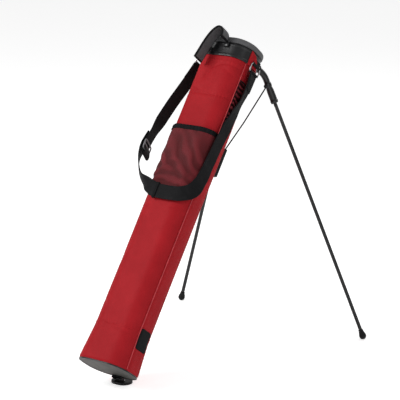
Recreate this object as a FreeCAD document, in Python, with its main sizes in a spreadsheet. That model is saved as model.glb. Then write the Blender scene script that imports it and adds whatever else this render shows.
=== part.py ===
import FreeCAD, Part
import math
import os

import Sketcher

from FreeCAD import Placement, Rotation, Vector

# A slim self-standing golf bag: an oval fabric tube on two folding legs and a tilting foot plate.
# Row frame, mm: +Z up, the bag leans towards +Y, x = 0 is its plane of symmetry.
# Bag frame: x across, y through the bag (front is -y, legs are at +y), z along the bag from its base.
# Leg frame: x outwards from the hinge, y along the hinge pin, z along the bag.

doc = FreeCAD.newDocument("golf_bag")
sheet = doc.addObject("Spreadsheet::Sheet", "Sizes")

SIZES = (
    ("lean_angle", 36.4),
    ("base_back", -50.5),
    ("base_height", 48.4),
    ("half_width", 65.3),
    ("half_depth", 48.8),
    ("corner_radius", 40.0),
    ("base_flare", 6.5),
    ("flare_height", 85.0),
    ("fabric_top", 803.0),
    ("fabric_thickness", 3.0),
    ("seam_depth", 21.0),
    ("liner_gap", 0.2),
    ("liner_thickness", 1.2),
    ("collar_bottom", 772.0),
    ("collar_top", 837.0),
    ("collar_lip", 3.0),
    ("collar_wall", 4.0),
    ("bead_height", 14.0),
    ("bead_lip", 6.5),
    ("bead_round", 5.0),
    ("cup_height", 45.0),
    ("cup_wall", 2.5),
    ("sole_thickness", 1.5),
    ("rim_height", 2.5),
    ("rim_width", 3.0),
    ("grip_stand", 75.0),
    ("hinge_plate_half", 48.0),
    ("hinge_plate_depth", 22.0),
    ("ear_reach", 22.0),
    ("socket_start", 23.1),
    ("arm_end", 30.0),
    ("lug_web", 10.0),
    ("guide_foot", 6.0),
    ("plate_pin_depth", 57.0),
    ("plate_pin_drop", 5.5),
    ("plate_ear_radius", 3.4),
    ("plate_ear_thickness", 4.0),
    ("plate_ear_root", 14.0),
    ("plate_round", 2.0),
    ("piping_radius", 1.6),
    ("pocket_top", 605.0),
    ("pocket_bottom", 436.0),
    ("pocket_depth", 5.0),
    ("mesh_thickness", 1.5),
    ("binding_height", 11.0),
    ("side_pocket_top", 755.0),
    ("side_pocket_bottom", 612.0),
    ("side_pocket_depth", 4.0),
    ("side_pocket_width", 26.0),
    ("keeper_low", 55.0),
    ("keeper_width", 42.0),
    ("keeper_height", 52.0),
    ("hinge_side", 32.0),
    ("hinge_depth", 66.0),
    ("hinge_level", 832.0),
    ("leg_turn", 62.6),
    ("leg_slope", 41.8),
    ("hinge_pin_radius", 3.0),
    ("hinge_pin_length", 24.0),
    ("knuckle_radius", 8.0),
    ("knuckle_width", 14.0),
    ("ear_thickness", 4.0),
    ("running_gap", 0.05),
    ("arm_radius", 6.8),
    ("arm_bend_radius", 50.0),
    ("arm_straight", 4.0),
    ("socket_radius", 8.2),
    ("socket_reach", 80.0),
    ("socket_length", 42.0),
    ("tube_radius", 4.5),
    ("tube_grip", 30.0),
    ("rubber_radius", 9.0),
    ("rubber_length", 26.0),
    ("lug_out", 42.0),
    ("lug_down", 28.0),
    ("lug_thickness", 4.0),
    ("lug_radius", 4.5),
    ("wire_radius", 1.75),
    ("wire_ball_radius", 2.6),
    ("wire_beside", 5.0),
    ("guide_side", 44.0),
    ("guide_depth", 49.5),
    ("guide_level", 590.0),
    ("guide_bottom", 528.0),
    ("guide_top", 601.0),
    ("guide_wall", 1.6),
    ("guide_slot_gap", 0.45),
    ("wire_bend_share", 0.55),
    ("guide_half_x", 4.7),
    ("guide_half_y", 4.4),
    ("plate_width", 52.0),
    ("plate_depth", 42.0),
    ("plate_thickness", 6.0),
    ("plate_pin_radius", 2.0),
    ("plate_pin_length", 30.0),
    ("strap_width", 36.0),
    ("strap_thickness", 2.2),
    ("strap_gap", 0.4),
    ("grip_width", 35.0),
    ("grip_thickness", 6.0),
    ("ring_wire", 1.6),
    ("ring_width", 40.0),
    ("ring_height", 20.0),
    ("ring_depth", 6.0),
    ("ring_tilt", 24.0),
    ("ring_stand", 9.6),
    ("strap_station", 26.0),
    ("grip_station", 12.0),
    ("anchor_width", 12.0),
    ("anchor_height", 12.0),
    ("buckle_width", 46.0),
    ("buckle_height", 26.0),
    ("buckle_depth", 2.6),
    ("buckle_rail", 3.4),
    ("buckle_stand", 1.8),
    ("keeper_length", 7.0),
    ("tab_thickness", 2.2),
    ("tab_height", 16.0),
    ("strap_lift", 7.9),
    ("ring_level", 808.0),
    ("peak_height", 33.0),
    ("peak_spread", 2.4),
    ("peak_apex", 18.0),
)

for row, (name, value) in enumerate(SIZES, start=1):
    sheet.set(f"A{row}", name)
    sheet.set(f"B{row}", str(value))
    sheet.setAlias(f"B{row}", name)
doc.recompute()


def size(name):
    return float(sheet.get(name))


LEAN = math.radians(size("lean_angle"))
BAG = Placement(
    Vector(0, size("base_back"), size("base_height")),
    Rotation(Vector(1, 0, 0), -size("lean_angle")),
)
LEG_SLOPE = math.radians(size("leg_slope"))
TUBE_DIRECTION = Vector(math.cos(LEG_SLOPE), 0, -math.sin(LEG_SLOPE))
WRAP_GAP = size("strap_gap") + size("strap_thickness") / 2
nodes = []


def leg_frame(side):
    """Placement of the leg frame on the right (side = 1) or left (side = -1) of the bag."""
    hinge = Vector(side * size("hinge_side"), size("hinge_depth"), size("hinge_level"))
    turn = size("leg_turn") if side > 0 else 180 - size("leg_turn")
    return BAG.multiply(Placement(hinge, Rotation(Vector(0, 0, 1), turn)))


def keep(obj, label, frame=None):
    """List a finished sub-part and put it in its place."""
    obj.Label = label
    if frame is not None:
        obj.Placement = frame.multiply(obj.Placement)
    nodes.append(obj)
    return obj


def solid(label, shape, frame):
    """A sub-part whose shape is worked out from the sheet by code."""
    obj = doc.addObject("Part::Feature", label)
    obj.Shape = shape
    obj.Placement = frame
    obj.Label = label
    nodes.append(obj)
    return obj


def fuse(name, *parts):
    obj = doc.addObject("Part::MultiFuse", name)
    obj.Shapes = list(parts)
    return obj


def cut(name, base, tool):
    obj = doc.addObject("Part::Cut", name)
    obj.Base = base
    obj.Tool = tool
    return obj


def common(name, base, tool):
    obj = doc.addObject("Part::Common", name)
    obj.Base = base
    obj.Tool = tool
    return obj


# ---------------------------------------------------------------- rounded outlines

def outline(body, name, level, grow):
    """Rounded rectangle sketch around the bag's axis: level and grow are expressions."""
    sketch = body.newObject("Sketcher::SketchObject", name)
    plane = next(f for f in body.Origin.OriginFeatures if f.Role == "XY_Plane")
    sketch.AttachmentSupport = (plane, [""])
    sketch.MapMode = "FlatFace"
    sketch.setExpression("AttachmentOffset.Base.z", level)
    hx, hy, r = size("half_width"), size("half_depth"), size("corner_radius")
    up = Vector(0, 0, 1)
    lines = (
        ((-hx + r, -hy), (hx - r, -hy)),
        ((hx, -hy + r), (hx, hy - r)),
        ((hx - r, hy), (-hx + r, hy)),
        ((-hx, hy - r), (-hx, -hy + r)),
    )
    for start, end in lines:
        sketch.addGeometry(Part.LineSegment(Vector(*start, 0), Vector(*end, 0)))
    quarters = ((hx - r, -hy + r, -90), (hx - r, hy - r, 0), (-hx + r, hy - r, 90), (-hx + r, -hy + r, 180))
    for cx, cy, turn in quarters:
        circle = Part.Circle(Vector(cx, cy, 0), up, r)
        sketch.addGeometry(Part.ArcOfCircle(circle, math.radians(turn), math.radians(turn + 90)))
    constraints = []
    for i in range(4):
        constraints.append(Sketcher.Constraint("Tangent", i, 2, 4 + i, 1))
        constraints.append(Sketcher.Constraint("Tangent", 4 + i, 2, (i + 1) % 4, 1))
    constraints.append(Sketcher.Constraint("Horizontal", 0))
    constraints.append(Sketcher.Constraint("Vertical", 1))
    constraints.append(Sketcher.Constraint("Horizontal", 2))
    for i in (5, 6, 7):
        constraints.append(Sketcher.Constraint("Equal", 4, i))
    constraints.append(Sketcher.Constraint("Symmetric", 0, 1, 2, 1, -1, 1))
    sketch.addConstraint(constraints)
    drives = (
        ("DistanceX", (3, 1, 1, 1), 2 * hx, f"2 * (Sizes.half_width + {grow})"),
        ("DistanceY", (0, 1, 2, 1), 2 * hy, f"2 * (Sizes.half_depth + {grow})"),
        ("Radius", (4,), r, f"Sizes.corner_radius + {grow}"),
    )
    for kind, where, value, expression in drives:
        index = sketch.addConstraint(Sketcher.Constraint(kind, *where, value))
        sketch.setExpression(f"Constraints[{index}]", expression)
    return sketch


def new_body(name):
    return doc.addObject("PartDesign::Body", name)


def loft(body, name, kind, levels):
    """Ruled loft, or subtractive loft, through outlines given as (level, grow) expressions."""
    sketches = [outline(body, f"{name}_outline_{i}", *level) for i, level in enumerate(levels)]
    feature = body.newObject("PartDesign::" + kind, name)
    feature.Profile = sketches[0]
    feature.Sections = sketches[1:]
    feature.Ruled = True
    return feature


def flared(grow, bottom, top):
    """Levels of the bag's flared wall, grown outwards by grow (negative is inwards)."""
    return (
        (bottom, f"Sizes.base_flare * (1 - ({bottom}) / Sizes.flare_height) + {grow}"),
        ("Sizes.flare_height", grow),
        (top, grow),
    )


# ---------------------------------------------------------------- fabric tube

def wall_body(name, outer, inner, bottom, top):
    """A hollow flared tube between two offsets of the bag's outline."""
    body = new_body(name)
    loft(body, name + "_outer", "AdditiveLoft", flared(outer, bottom, top))
    loft(body, name + "_inner", "SubtractiveLoft", flared(inner, bottom, top))
    return body


def region(name, low, high):
    """A box in the bag frame between two corners given as expressions."""
    box = doc.addObject("Part::Box", name)
    for axis, prop, a, b in zip("xyz", ("Length", "Width", "Height"), low, high):
        box.setExpression("Placement.Base." + axis, a)
        box.setExpression(prop, f"({b}) - ({a})")
    return box


FAR = "2 * Sizes.half_width"
tube_wall = wall_body("tube_wall", "0", "-Sizes.fabric_thickness", "0", "Sizes.fabric_top")
PANELS = (
    ("front_panel", (f"-{FAR}", f"-{FAR}", "0"), (FAR, "-Sizes.seam_depth", "Sizes.fabric_top")),
    ("back_panel", (f"-{FAR}", "Sizes.seam_depth", "0"), (FAR, FAR, "Sizes.fabric_top")),
    ("side_panel_right", ("0", "-Sizes.seam_depth", "0"), (FAR, "Sizes.seam_depth", "Sizes.fabric_top")),
    ("side_panel_left", (f"-{FAR}", "-Sizes.seam_depth", "0"), ("0", "Sizes.seam_depth", "Sizes.fabric_top")),
)
for label, low, high in PANELS:
    keep(common(label, tube_wall, region(label + "_region", low, high)), label, BAG)

liner = wall_body(
    "inner_liner",
    "-(Sizes.fabric_thickness + Sizes.liner_gap)",
    "-(Sizes.fabric_thickness + Sizes.liner_gap + Sizes.liner_thickness)",
    "Sizes.cup_height + 0.5",
    "Sizes.collar_bottom - 0.5",
)
keep(liner, "inner_liner", BAG)


# ---------------------------------------------------------------- collar and base

COLLAR_INNER = "-(Sizes.fabric_thickness + Sizes.liner_gap + Sizes.collar_wall)"


def pad_ring(body, name, level, height, outer, inner):
    """Add a rounded ring: the outer outline padded, the inner one pocketed through it."""
    pad = body.newObject("PartDesign::Pad", name)
    pad.Profile = outline(body, name + "_outer", level, outer)
    pad.setExpression("Length", height)
    doc.recompute()
    pocket = body.newObject("PartDesign::Pocket", name + "_mouth")
    pocket.Profile = outline(body, name + "_inner", level, inner)
    pocket.Reversed = True
    pocket.setExpression("Length", height)
    doc.recompute()
    return pocket


def build_collar():
    """Black moulded collar: a band above the fabric and a spigot tucked inside it."""
    band = new_body("collar_band")
    pad_ring(band, "band", "Sizes.fabric_top + 0.3", "Sizes.collar_top - Sizes.fabric_top - 0.3",
             "Sizes.collar_lip", COLLAR_INNER)
    spigot = new_body("collar_spigot")
    pad_ring(spigot, "spigot", "Sizes.collar_bottom", "Sizes.fabric_top + 1 - Sizes.collar_bottom",
             "-(Sizes.fabric_thickness + Sizes.liner_gap)", COLLAR_INNER)
    keep(fuse("collar", band, spigot), "collar", BAG)


def build_bead():
    """Rounded rim bead on top of the collar."""
    bead = new_body("rim_bead")
    pad_ring(bead, "bead", "Sizes.collar_top", "Sizes.bead_height", "Sizes.bead_lip", COLLAR_INNER + " - 1")
    tip = bead.Tip
    rims = [
        f"Edge{i}" for i, edge in enumerate(tip.Shape.Edges, start=1)
        if edge.BoundBox.ZLength < 0.01
    ]
    fillet = bead.newObject("PartDesign::Fillet", "bead_rounding")
    fillet.Base = (tip, rims)
    fillet.setExpression("Radius", "Sizes.bead_round")
    doc.recompute()
    keep(bead, "rim_bead", BAG)


def build_base():
    """Black base cup inside the fabric, with a rim and a grey sole under its floor."""
    inside = "-(Sizes.fabric_thickness + Sizes.liner_gap)"
    narrowing = "Sizes.base_flare * (1 - Sizes.cup_height / Sizes.flare_height)"
    cup = new_body("base_cup")
    loft(cup, "cup_outer", "AdditiveLoft", (
        ("0", f"Sizes.base_flare + {inside}"),
        ("Sizes.cup_height", f"{narrowing} + {inside}"),
    ))
    loft(cup, "cup_inner", "SubtractiveLoft", (
        ("Sizes.cup_wall", f"Sizes.base_flare + {inside} - Sizes.cup_wall"),
        ("Sizes.cup_height", f"{narrowing} + {inside} - Sizes.cup_wall"),
    ))
    keep(cup, "base_cup", BAG)
    rim = new_body("base_rim")
    pad_ring(rim, "rim", "-Sizes.rim_height", "Sizes.rim_height",
             "Sizes.base_flare - 0.5", "Sizes.base_flare - 0.5 - Sizes.rim_width")
    keep(rim, "base_rim", BAG)
    sole = new_body("base_sole")
    plate = sole.newObject("PartDesign::Pad", "sole_plate")
    plate.Profile = outline(sole, "sole_outline", "-Sizes.sole_thickness",
                            "Sizes.base_flare - 0.7 - Sizes.rim_width")
    plate.setExpression("Length", "Sizes.sole_thickness")
    keep(sole, "base_sole", BAG)


build_collar()
build_bead()
build_base()


# ---------------------------------------------------------------- piping, pockets, patches

def outline_point(run, grow=0.0):
    """Point of the bag's outline and its outward normal, run mm around from the front centre."""
    r = size("corner_radius")
    flat_x = size("half_width") - r
    flat_y = size("half_depth") - r
    quarter = r * math.pi / 2
    side = 1 if run >= 0 else -1
    run = abs(run)
    if run <= flat_x:
        centre, turn = (run, -flat_y), -math.pi / 2
    elif run <= flat_x + quarter:
        centre, turn = (flat_x, -flat_y), (run - flat_x) / r - math.pi / 2
    else:
        centre, turn = (flat_x, run - flat_x - quarter - flat_y), 0.0
    normal = Vector(side * math.cos(turn), math.sin(turn), 0)
    point = Vector(side * centre[0], centre[1], 0) + normal * (r + grow)
    return point, normal


SEAM_RUN = (
    size("half_width") - size("corner_radius") + size("corner_radius") * math.pi / 2
    - size("corner_radius") * math.asin(
        (size("seam_depth") - size("half_depth") + size("corner_radius")) / size("corner_radius"))
)


def rod(start, end, radius):
    way = end - start
    return Part.makeCylinder(radius, way.Length, start, way)


def build_piping():
    """Corded piping along both front seams, following the flare at the base."""
    r = size("piping_radius")
    shapes = []
    for side in (1, -1):
        straight, normal = outline_point(side * SEAM_RUN, r + 0.1)
        low = straight + normal * size("base_flare") + Vector(0, 0, 1)
        knee = straight + Vector(0, 0, size("flare_height"))
        top = straight + Vector(0, 0, size("fabric_top"))
        piece = rod(low, knee, r).fuse([rod(knee, top, r), Part.makeSphere(r, knee)])
        shapes.append(piece.removeSplitter())
    solid("seam_piping", Part.makeCompound(shapes), BAG)


def ring_part(name, levels_out, levels_in, low, high):
    """A layer on the bag: the wall between two lofts, trimmed to a box of the bag frame."""
    body = new_body(name + "_layer")
    loft(body, name + "_outer", "AdditiveLoft", levels_out)
    loft(body, name + "_inner", "SubtractiveLoft", levels_in)
    return common(name, body, region(name + "_region", low, high))


def build_layers():
    """Mesh pocket and its binding, gathered side pocket, leg keeper patch."""
    belly = "Sizes.pocket_bottom + 34"
    edge = "-(Sizes.seam_depth + 3)"
    pocket = ring_part(
        "mesh_pocket",
        (("Sizes.pocket_bottom", "0.2 + Sizes.mesh_thickness"), (belly, "Sizes.pocket_depth"),
         ("Sizes.pocket_top - Sizes.binding_height", "Sizes.pocket_depth")),
        (("Sizes.pocket_bottom", "0.2"), (belly, "Sizes.pocket_depth - Sizes.mesh_thickness"),
         ("Sizes.pocket_top - Sizes.binding_height", "Sizes.pocket_depth - Sizes.mesh_thickness")),
        (f"-{FAR}", f"-{FAR}", "0"), (FAR, edge, FAR + " + Sizes.fabric_top"))
    keep(pocket, "mesh_pocket", BAG)
    low, high = "Sizes.pocket_top - Sizes.binding_height", "Sizes.pocket_top"
    binding = ring_part(
        "pocket_binding",
        ((low, "Sizes.pocket_depth + 0.6"), (high, "Sizes.pocket_depth + 0.6")),
        ((low, "Sizes.pocket_depth - 2"), (high, "Sizes.pocket_depth - 2")),
        (f"-{FAR}", f"-{FAR}", "0"), (FAR, edge, FAR + " + Sizes.fabric_top"))
    keep(binding, "pocket_binding", BAG)
    low, high = "Sizes.side_pocket_bottom", "Sizes.side_pocket_top"
    side_pocket = ring_part(
        "side_pocket",
        ((low, "Sizes.side_pocket_depth"), (high, "Sizes.side_pocket_depth")),
        ((low, "0.2"), (high, "0.2")),
        ("0", "-Sizes.seam_depth + 2", low), (FAR, "-Sizes.seam_depth + 2 + Sizes.side_pocket_width", high))
    keep(side_pocket, "side_pocket", BAG)
    levels = ("0", "Sizes.flare_height", "Sizes.flare_height + Sizes.keeper_height")
    flare = ("Sizes.base_flare", "0", "0")
    patch = ring_part(
        "leg_keeper",
        tuple((level, f"{grow} + 1.9") for level, grow in zip(levels, flare)),
        tuple((level, f"{grow} + 0.2") for level, grow in zip(levels, flare)),
        ("0", "-Sizes.seam_depth + 2", "Sizes.keeper_low"),
        (FAR, "-Sizes.seam_depth + 2 + Sizes.keeper_width", "Sizes.keeper_low + Sizes.keeper_height"))
    keep(patch, "leg_keeper", BAG)


def build_peaks():
    """Triangular fabric peaks where the side panels climb onto the collar."""
    grow = size("collar_lip") + 0.2
    for side, label in ((1, "peak_right"), (-1, "peak_left")):
        x = side * (size("half_width") + grow)
        flat_y = size("half_depth") - size("corner_radius")
        low, high = size("fabric_top") - 6, size("fabric_top") + size("peak_height")
        corners = [
            Vector(x, -flat_y * size("peak_spread"), low),
            Vector(x, flat_y * size("peak_spread"), low),
            Vector(x, -size("peak_apex"), high),
        ]
        face = Part.Face(Part.makePolygon(corners + corners[:1]))
        solid(label, face.extrude(Vector(side * size("tab_thickness"), 0, 0)), BAG)


# ---------------------------------------------------------------- strap, rings, buckle

def ribbon(stations, width, thickness):
    """Webbing lofted through stations of (centre, width direction, normal)."""
    wires = []
    for centre, across, normal in stations:
        u = across * (width / 2)
        v = normal * (thickness / 2)
        corners = [centre - u - v, centre + u - v, centre + u + v, centre - u + v]
        wires.append(Part.makePolygon(corners + corners[:1]))
    return Part.makeLoft(wires, True, False)


def smooth_stations(points, normals, spacing):
    """Evenly spaced stations on a smooth curve through the points, normals blended between them."""
    curve = Part.BSplineCurve()
    curve.interpolate(points)
    knots = [curve.parameter(point) for point in points]
    count = max(3, round(curve.length() / spacing) + 1)
    result = []
    for i in range(count):
        at = curve.parameterAtDistance(curve.length() * i / (count - 1), curve.FirstParameter)
        j = min(max(sum(1 for knot in knots if knot <= at) - 1, 0), len(points) - 2)
        blend = (at - knots[j]) / (knots[j + 1] - knots[j])
        tangent = curve.tangent(at)[0]
        normal = normals[j] * (1 - blend) + normals[j + 1] * blend
        across = normal.cross(tangent).normalize()
        result.append((curve.value(at), across, tangent.cross(across)))
    return result


def wrapped(run, level):
    """Point of the strap where it lies around the bag, and the direction along the bag's surface."""
    point, normal = outline_point(run, size("strap_lift"))
    return point + Vector(0, 0, level), normal


def bar_loop(centre, along, bore):
    """Webbing folded round a ring's bar: a short sleeve along the bar."""
    half = size("strap_width") / 2
    outer = bore + size("tab_thickness")
    start = centre - along * half
    return Part.makeCylinder(outer, 2 * half, start, along), Part.makeCylinder(bore, 2 * half, start, along)


# Where the long strap lies around the bag: run, level and, where it stands off the curve, its facing.
STRAP_AROUND = (
    (107, 752, (0.98, 0.20)), (102, 708, (0.99, 0.12)), (94, 668, (1.0, 0.0)), (86, 626, (1.0, 0.0)),
    (81, 580, (1.0, 0.0)), (78, 530, (1.0, -0.05)), (75, 488, (0.98, -0.18)), (66, 453, None),
    (46, 434, None), (24, 429, None), (2, 429, None), (-20, 430, None),
)
# Where it swings free of the bag on the left: x, y, level and facing.
STRAP_FREE = (
    (-44, -58, 438, (-0.12, -0.97, -0.15)), (-75, -54, 455, (-0.46, -0.53, -0.46)),
    (-102, -46, 483, (-0.75, -0.46, -0.43)), (-122, -38, 516, (-0.92, -0.38, 0.0)),
    (-125, -33, 550, (-0.98, -0.18, 0.0)), (-122, -29, 580, (-0.98, -0.18, 0.0)),
)


def build_strap():
    """Shoulder strap in two lengths, its keeper and the slide buckle that joins them."""
    width, thick = size("strap_width"), size("strap_thickness")
    bore = size("ring_wire") + 0.1
    bar = ring_bar(1)
    points = [bar - Vector(0, 0, 1.5)]
    normals = [Vector(0.98, 0.2, 0)]
    for run, level, facing in STRAP_AROUND:
        point, normal = wrapped(run, level)
        points.append(point)
        normals.append(Vector(*facing, 0) if facing else normal)
    for x, y, level, normal in STRAP_FREE:
        points.append(Vector(x, y, level))
        normals.append(Vector(*normal))
    stations = smooth_stations(points, normals, size("strap_station"))
    outer, hole = bar_loop(bar, Vector(0, 1, 0), bore)
    solid("strap_long", ribbon(stations, width, thick).fuse(outer).cut(hole).removeSplitter(), BAG)
    bar = ring_bar(-1)
    near = (-0.98, -0.18, 0.0)
    far = (-0.99, 0.12, 0.0)
    upper = ((-114.5, -35, 530, near), (-118, -31, 556, near), (-116, -28, 584, near),
             (-110.5, -24, 625, far), (-103, -18, 675, far), (-93.5, -12, 722, far), (-88, -6, 758, far))
    points = [Vector(x, y, level) for x, y, level, _ in upper] + [bar - Vector(0.6, 0, 1.5)]
    normals = [Vector(*normal) for _, _, _, normal in upper] + [Vector(*far)]
    stations = smooth_stations(points, normals, size("strap_station"))
    outer, hole = bar_loop(bar, Vector(0, 1, 0), bore)
    solid("strap_short", ribbon(stations, width, thick).fuse(outer).cut(hole).removeSplitter(), BAG)


def build_buckle():
    """Slide buckle on the bag side of the short strap's end, with a bar across its middle."""
    wide, tall, deep = size("buckle_width"), size("buckle_height"), size("buckle_depth")
    rail = size("buckle_rail")
    frame = Part.makeBox(wide, tall, deep, Vector(-wide / 2, -tall / 2, 0))
    window = Part.makeBox(wide - 2 * rail, tall - 2 * rail, deep, Vector(rail - wide / 2, rail - tall / 2, 0))
    bar = Part.makeBox(wide - rail, rail, deep, Vector((rail - wide) / 2, -rail / 2, 0))
    buckle = frame.cut(window).fuse(bar).removeSplitter()
    out = Vector(-0.98, -0.18, 0)
    seat = Vector(-116.6, -33, 543) - out * (size("buckle_stand") + deep)
    turn = Rotation(Vector(0.18, -0.98, 0), Vector(-0.132, 0.15, 0.98), out, "YXZ")
    solid("strap_buckle", buckle, BAG.multiply(Placement(seat, turn)))


def build_keeper():
    """Narrow loop that holds the strap's layers together on the front."""
    point, normal = outline_point(-20, size("strap_lift"))
    wide, deep, long = size("strap_width") + 5, size("strap_thickness") + 3.6, size("keeper_length")
    outer = Part.makeBox(long, deep, wide, Vector(-long / 2, -deep / 2, -wide / 2))
    hole = Part.makeBox(long, deep - 2, wide - 2, Vector(-long / 2, 1 - deep / 2, 1 - wide / 2))
    spot = point + Vector(0, -0.1, 430)
    solid("strap_keeper", outer.cut(hole), BAG.multiply(Placement(spot, Rotation())))


def ring_bar(side):
    """Middle of the lower bar of the right (side = 1) or left ring, in the bag frame."""
    return ring_hang(side).multVec(Vector(0, 0, -size("ring_height")))


def ring_hang(side):
    """Placement of a ring's upper bar: the left ring swings out, pulled by the hanging strap."""
    y = size("ring_depth") if side > 0 else -size("ring_depth") / 3
    tilt = 0.0 if side > 0 else size("ring_tilt")
    x = side * (size("half_width") + size("ring_stand"))
    return Placement(Vector(x, y, size("ring_level")), Rotation(Vector(0, 1, 0), tilt))


def frame_loop(width, height, wire):
    """Rectangular wire loop in the local XY plane, centred on the origin."""
    w, h = width / 2, height / 2
    corners = [Vector(-w, -h, 0), Vector(w, -h, 0), Vector(w, h, 0), Vector(-w, h, 0)]
    parts = [rod(corners[i], corners[(i + 1) % 4], wire) for i in range(4)]
    parts += [Part.makeSphere(wire, corner) for corner in corners]
    return parts[0].fuse(parts[1:]).removeSplitter()


def build_rings():
    """Wire rings, and the webbing tabs that hold them on the collar."""
    wire = size("ring_wire")
    stand = Rotation(Vector(0, 1, 0), Vector(0, 0, 1), Vector(1, 0, 0), "XYZ")
    for side, word in ((1, "right"), (-1, "left")):
        hang = ring_hang(side)
        loop = frame_loop(size("ring_width"), size("ring_height"), wire)
        place = hang.multiply(Placement(Vector(0, 0, -size("ring_height") / 2), stand))
        solid("ring_" + word, loop.transformed(place.toMatrix(), True), BAG)
        top = hang.Base
        half = size("ring_width") / 2 - wire - 2
        thick = size("tab_thickness")
        start = top - Vector(0, half, 0)
        sleeve = Part.makeCylinder(wire + thick, 2 * half, start, Vector(0, 1, 0))
        bore = Part.makeCylinder(wire + 0.1, 2 * half, start, Vector(0, 1, 0))
        inner_x = size("half_width") + size("collar_lip") + 0.4 + thick
        plate = Part.makeBox(thick, 2 * half, size("tab_height"))
        plate.translate(Vector(inner_x if side > 0 else -inner_x - thick, top.y - half, top.z))
        solid("ring_tab_" + word, plate.fuse(sleeve).cut(bore).removeSplitter(), BAG)


def collar_core():
    """Solid the size of the collar, for trimming what sits against it."""
    core = new_body("collar_core")
    pad = core.newObject("PartDesign::Pad", "core_pad")
    pad.Profile = outline(core, "core_outline", "Sizes.fabric_top - 20", "Sizes.collar_lip + 0.05")
    pad.setExpression("Length", "80")
    doc.recompute()
    top = core.newObject("PartDesign::Pad", "core_top")
    top.Profile = outline(core, "core_top_outline", "Sizes.collar_top - 0.05", "Sizes.bead_lip + 0.05")
    top.setExpression("Length", "40")
    doc.recompute()
    return core


# ---------------------------------------------------------------- carrying handle

GRIP_PATH = (
    (-37, 771), (-33, 790), (-29, 809), (-23, 830), (-15, 847), (-5, 857), (4, 857), (11, 851), (14, 843),
    (15, 833),
)
GRIP_ANCHORS = ((-29, 811), (14, 829))


def build_handle(core):
    """Arched grip in front of the collar, with an anchor block beside each end."""
    points = [Vector(x, -size("grip_stand"), level) for x, level in GRIP_PATH]
    normals = []
    for i in range(len(points)):
        tangent = points[min(i + 1, len(points) - 1)] - points[max(i - 1, 0)]
        normals.append(Vector(0, 1, 0).cross(tangent).normalize())
    stations = smooth_stations(points, normals, size("grip_station"))
    solid("handle_grip", ribbon(stations, size("grip_width"), size("grip_thickness")), BAG)
    wide, tall = size("anchor_width"), size("anchor_height")
    deep = size("grip_stand") - size("grip_width") / 2
    inside = size("half_depth") / 2
    blocks = []
    for x, level in GRIP_ANCHORS:
        block = Part.makeBox(wide, deep - inside, tall)
        block.translate(Vector(x - wide / 2, -deep, level - tall / 2))
        blocks.append(block.cut(core.Shape))
    solid("handle_anchors", Part.makeCompound(blocks), BAG)


# ---------------------------------------------------------------- hinge block, legs, wires

def build_hinges(core):
    """Hinge block behind the collar with two pairs of ears, and the pins through them."""
    plate = doc.addObject("Part::Box", "hinge_plate")
    plate.setExpression("Length", "2 * Sizes.hinge_plate_half")
    plate.setExpression("Width", "Sizes.hinge_plate_depth")
    plate.setExpression("Height", "2 * Sizes.knuckle_radius + 8")
    plate.setExpression("Placement.Base.x", "-Sizes.hinge_plate_half")
    back = "Sizes.half_depth + Sizes.collar_lip + 4"
    plate.setExpression("Placement.Base.y", back + " - Sizes.hinge_plate_depth")
    plate.setExpression("Placement.Base.z", "Sizes.hinge_level - Sizes.knuckle_radius - 8")
    trimmed = cut("hinge_saddle", plate, core)
    doc.recompute()
    shapes = [trimmed.Shape]
    pins = []
    rooms = []
    r, half = size("knuckle_radius"), size("knuckle_width") / 2 + 0.3
    for side in (1, -1):
        frame = BAG.inverse().multiply(leg_frame(side))
        for y in (-half - size("ear_thickness"), half):
            ear = Part.makeBox(size("ear_reach"), size("ear_thickness"), 2 * r)
            ear.translate(Vector(-size("ear_reach"), y, -r))
            ear = ear.fuse(Part.makeCylinder(r, size("ear_thickness"), Vector(0, y, 0), Vector(0, 1, 0)))
            ear.Placement = frame
            shapes.append(ear)
        length = size("hinge_pin_length")
        pin = Part.makeCylinder(size("hinge_pin_radius"), length, Vector(0, -length / 2, 0), Vector(0, 1, 0))
        pin.Placement = frame
        pins.append(pin)
        room = Part.makeCylinder(r + 0.6, 2 * half, Vector(0, -half, 0), Vector(0, 1, 0))
        room.Placement = frame
        rooms.append(room)
    block = shapes[0].fuse(shapes[1:]).cut([core.Shape] + pins + rooms)
    solid("hinge_block", block.removeSplitter(), BAG)
    solid("hinge_pins", Part.makeCompound(pins), BAG)


SOCKET_END = Vector(size("socket_start"), 0, 0) + TUBE_DIRECTION * size("socket_reach")


def foot_centre():
    """Distance from the socket's end to the centre of the rubber foot, which stands on the floor."""
    frame = leg_frame(1)
    start = frame.multVec(SOCKET_END)
    way = frame.multVec(SOCKET_END + TUBE_DIRECTION) - start
    return (start.z - size("rubber_radius")) / -way.z


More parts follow.
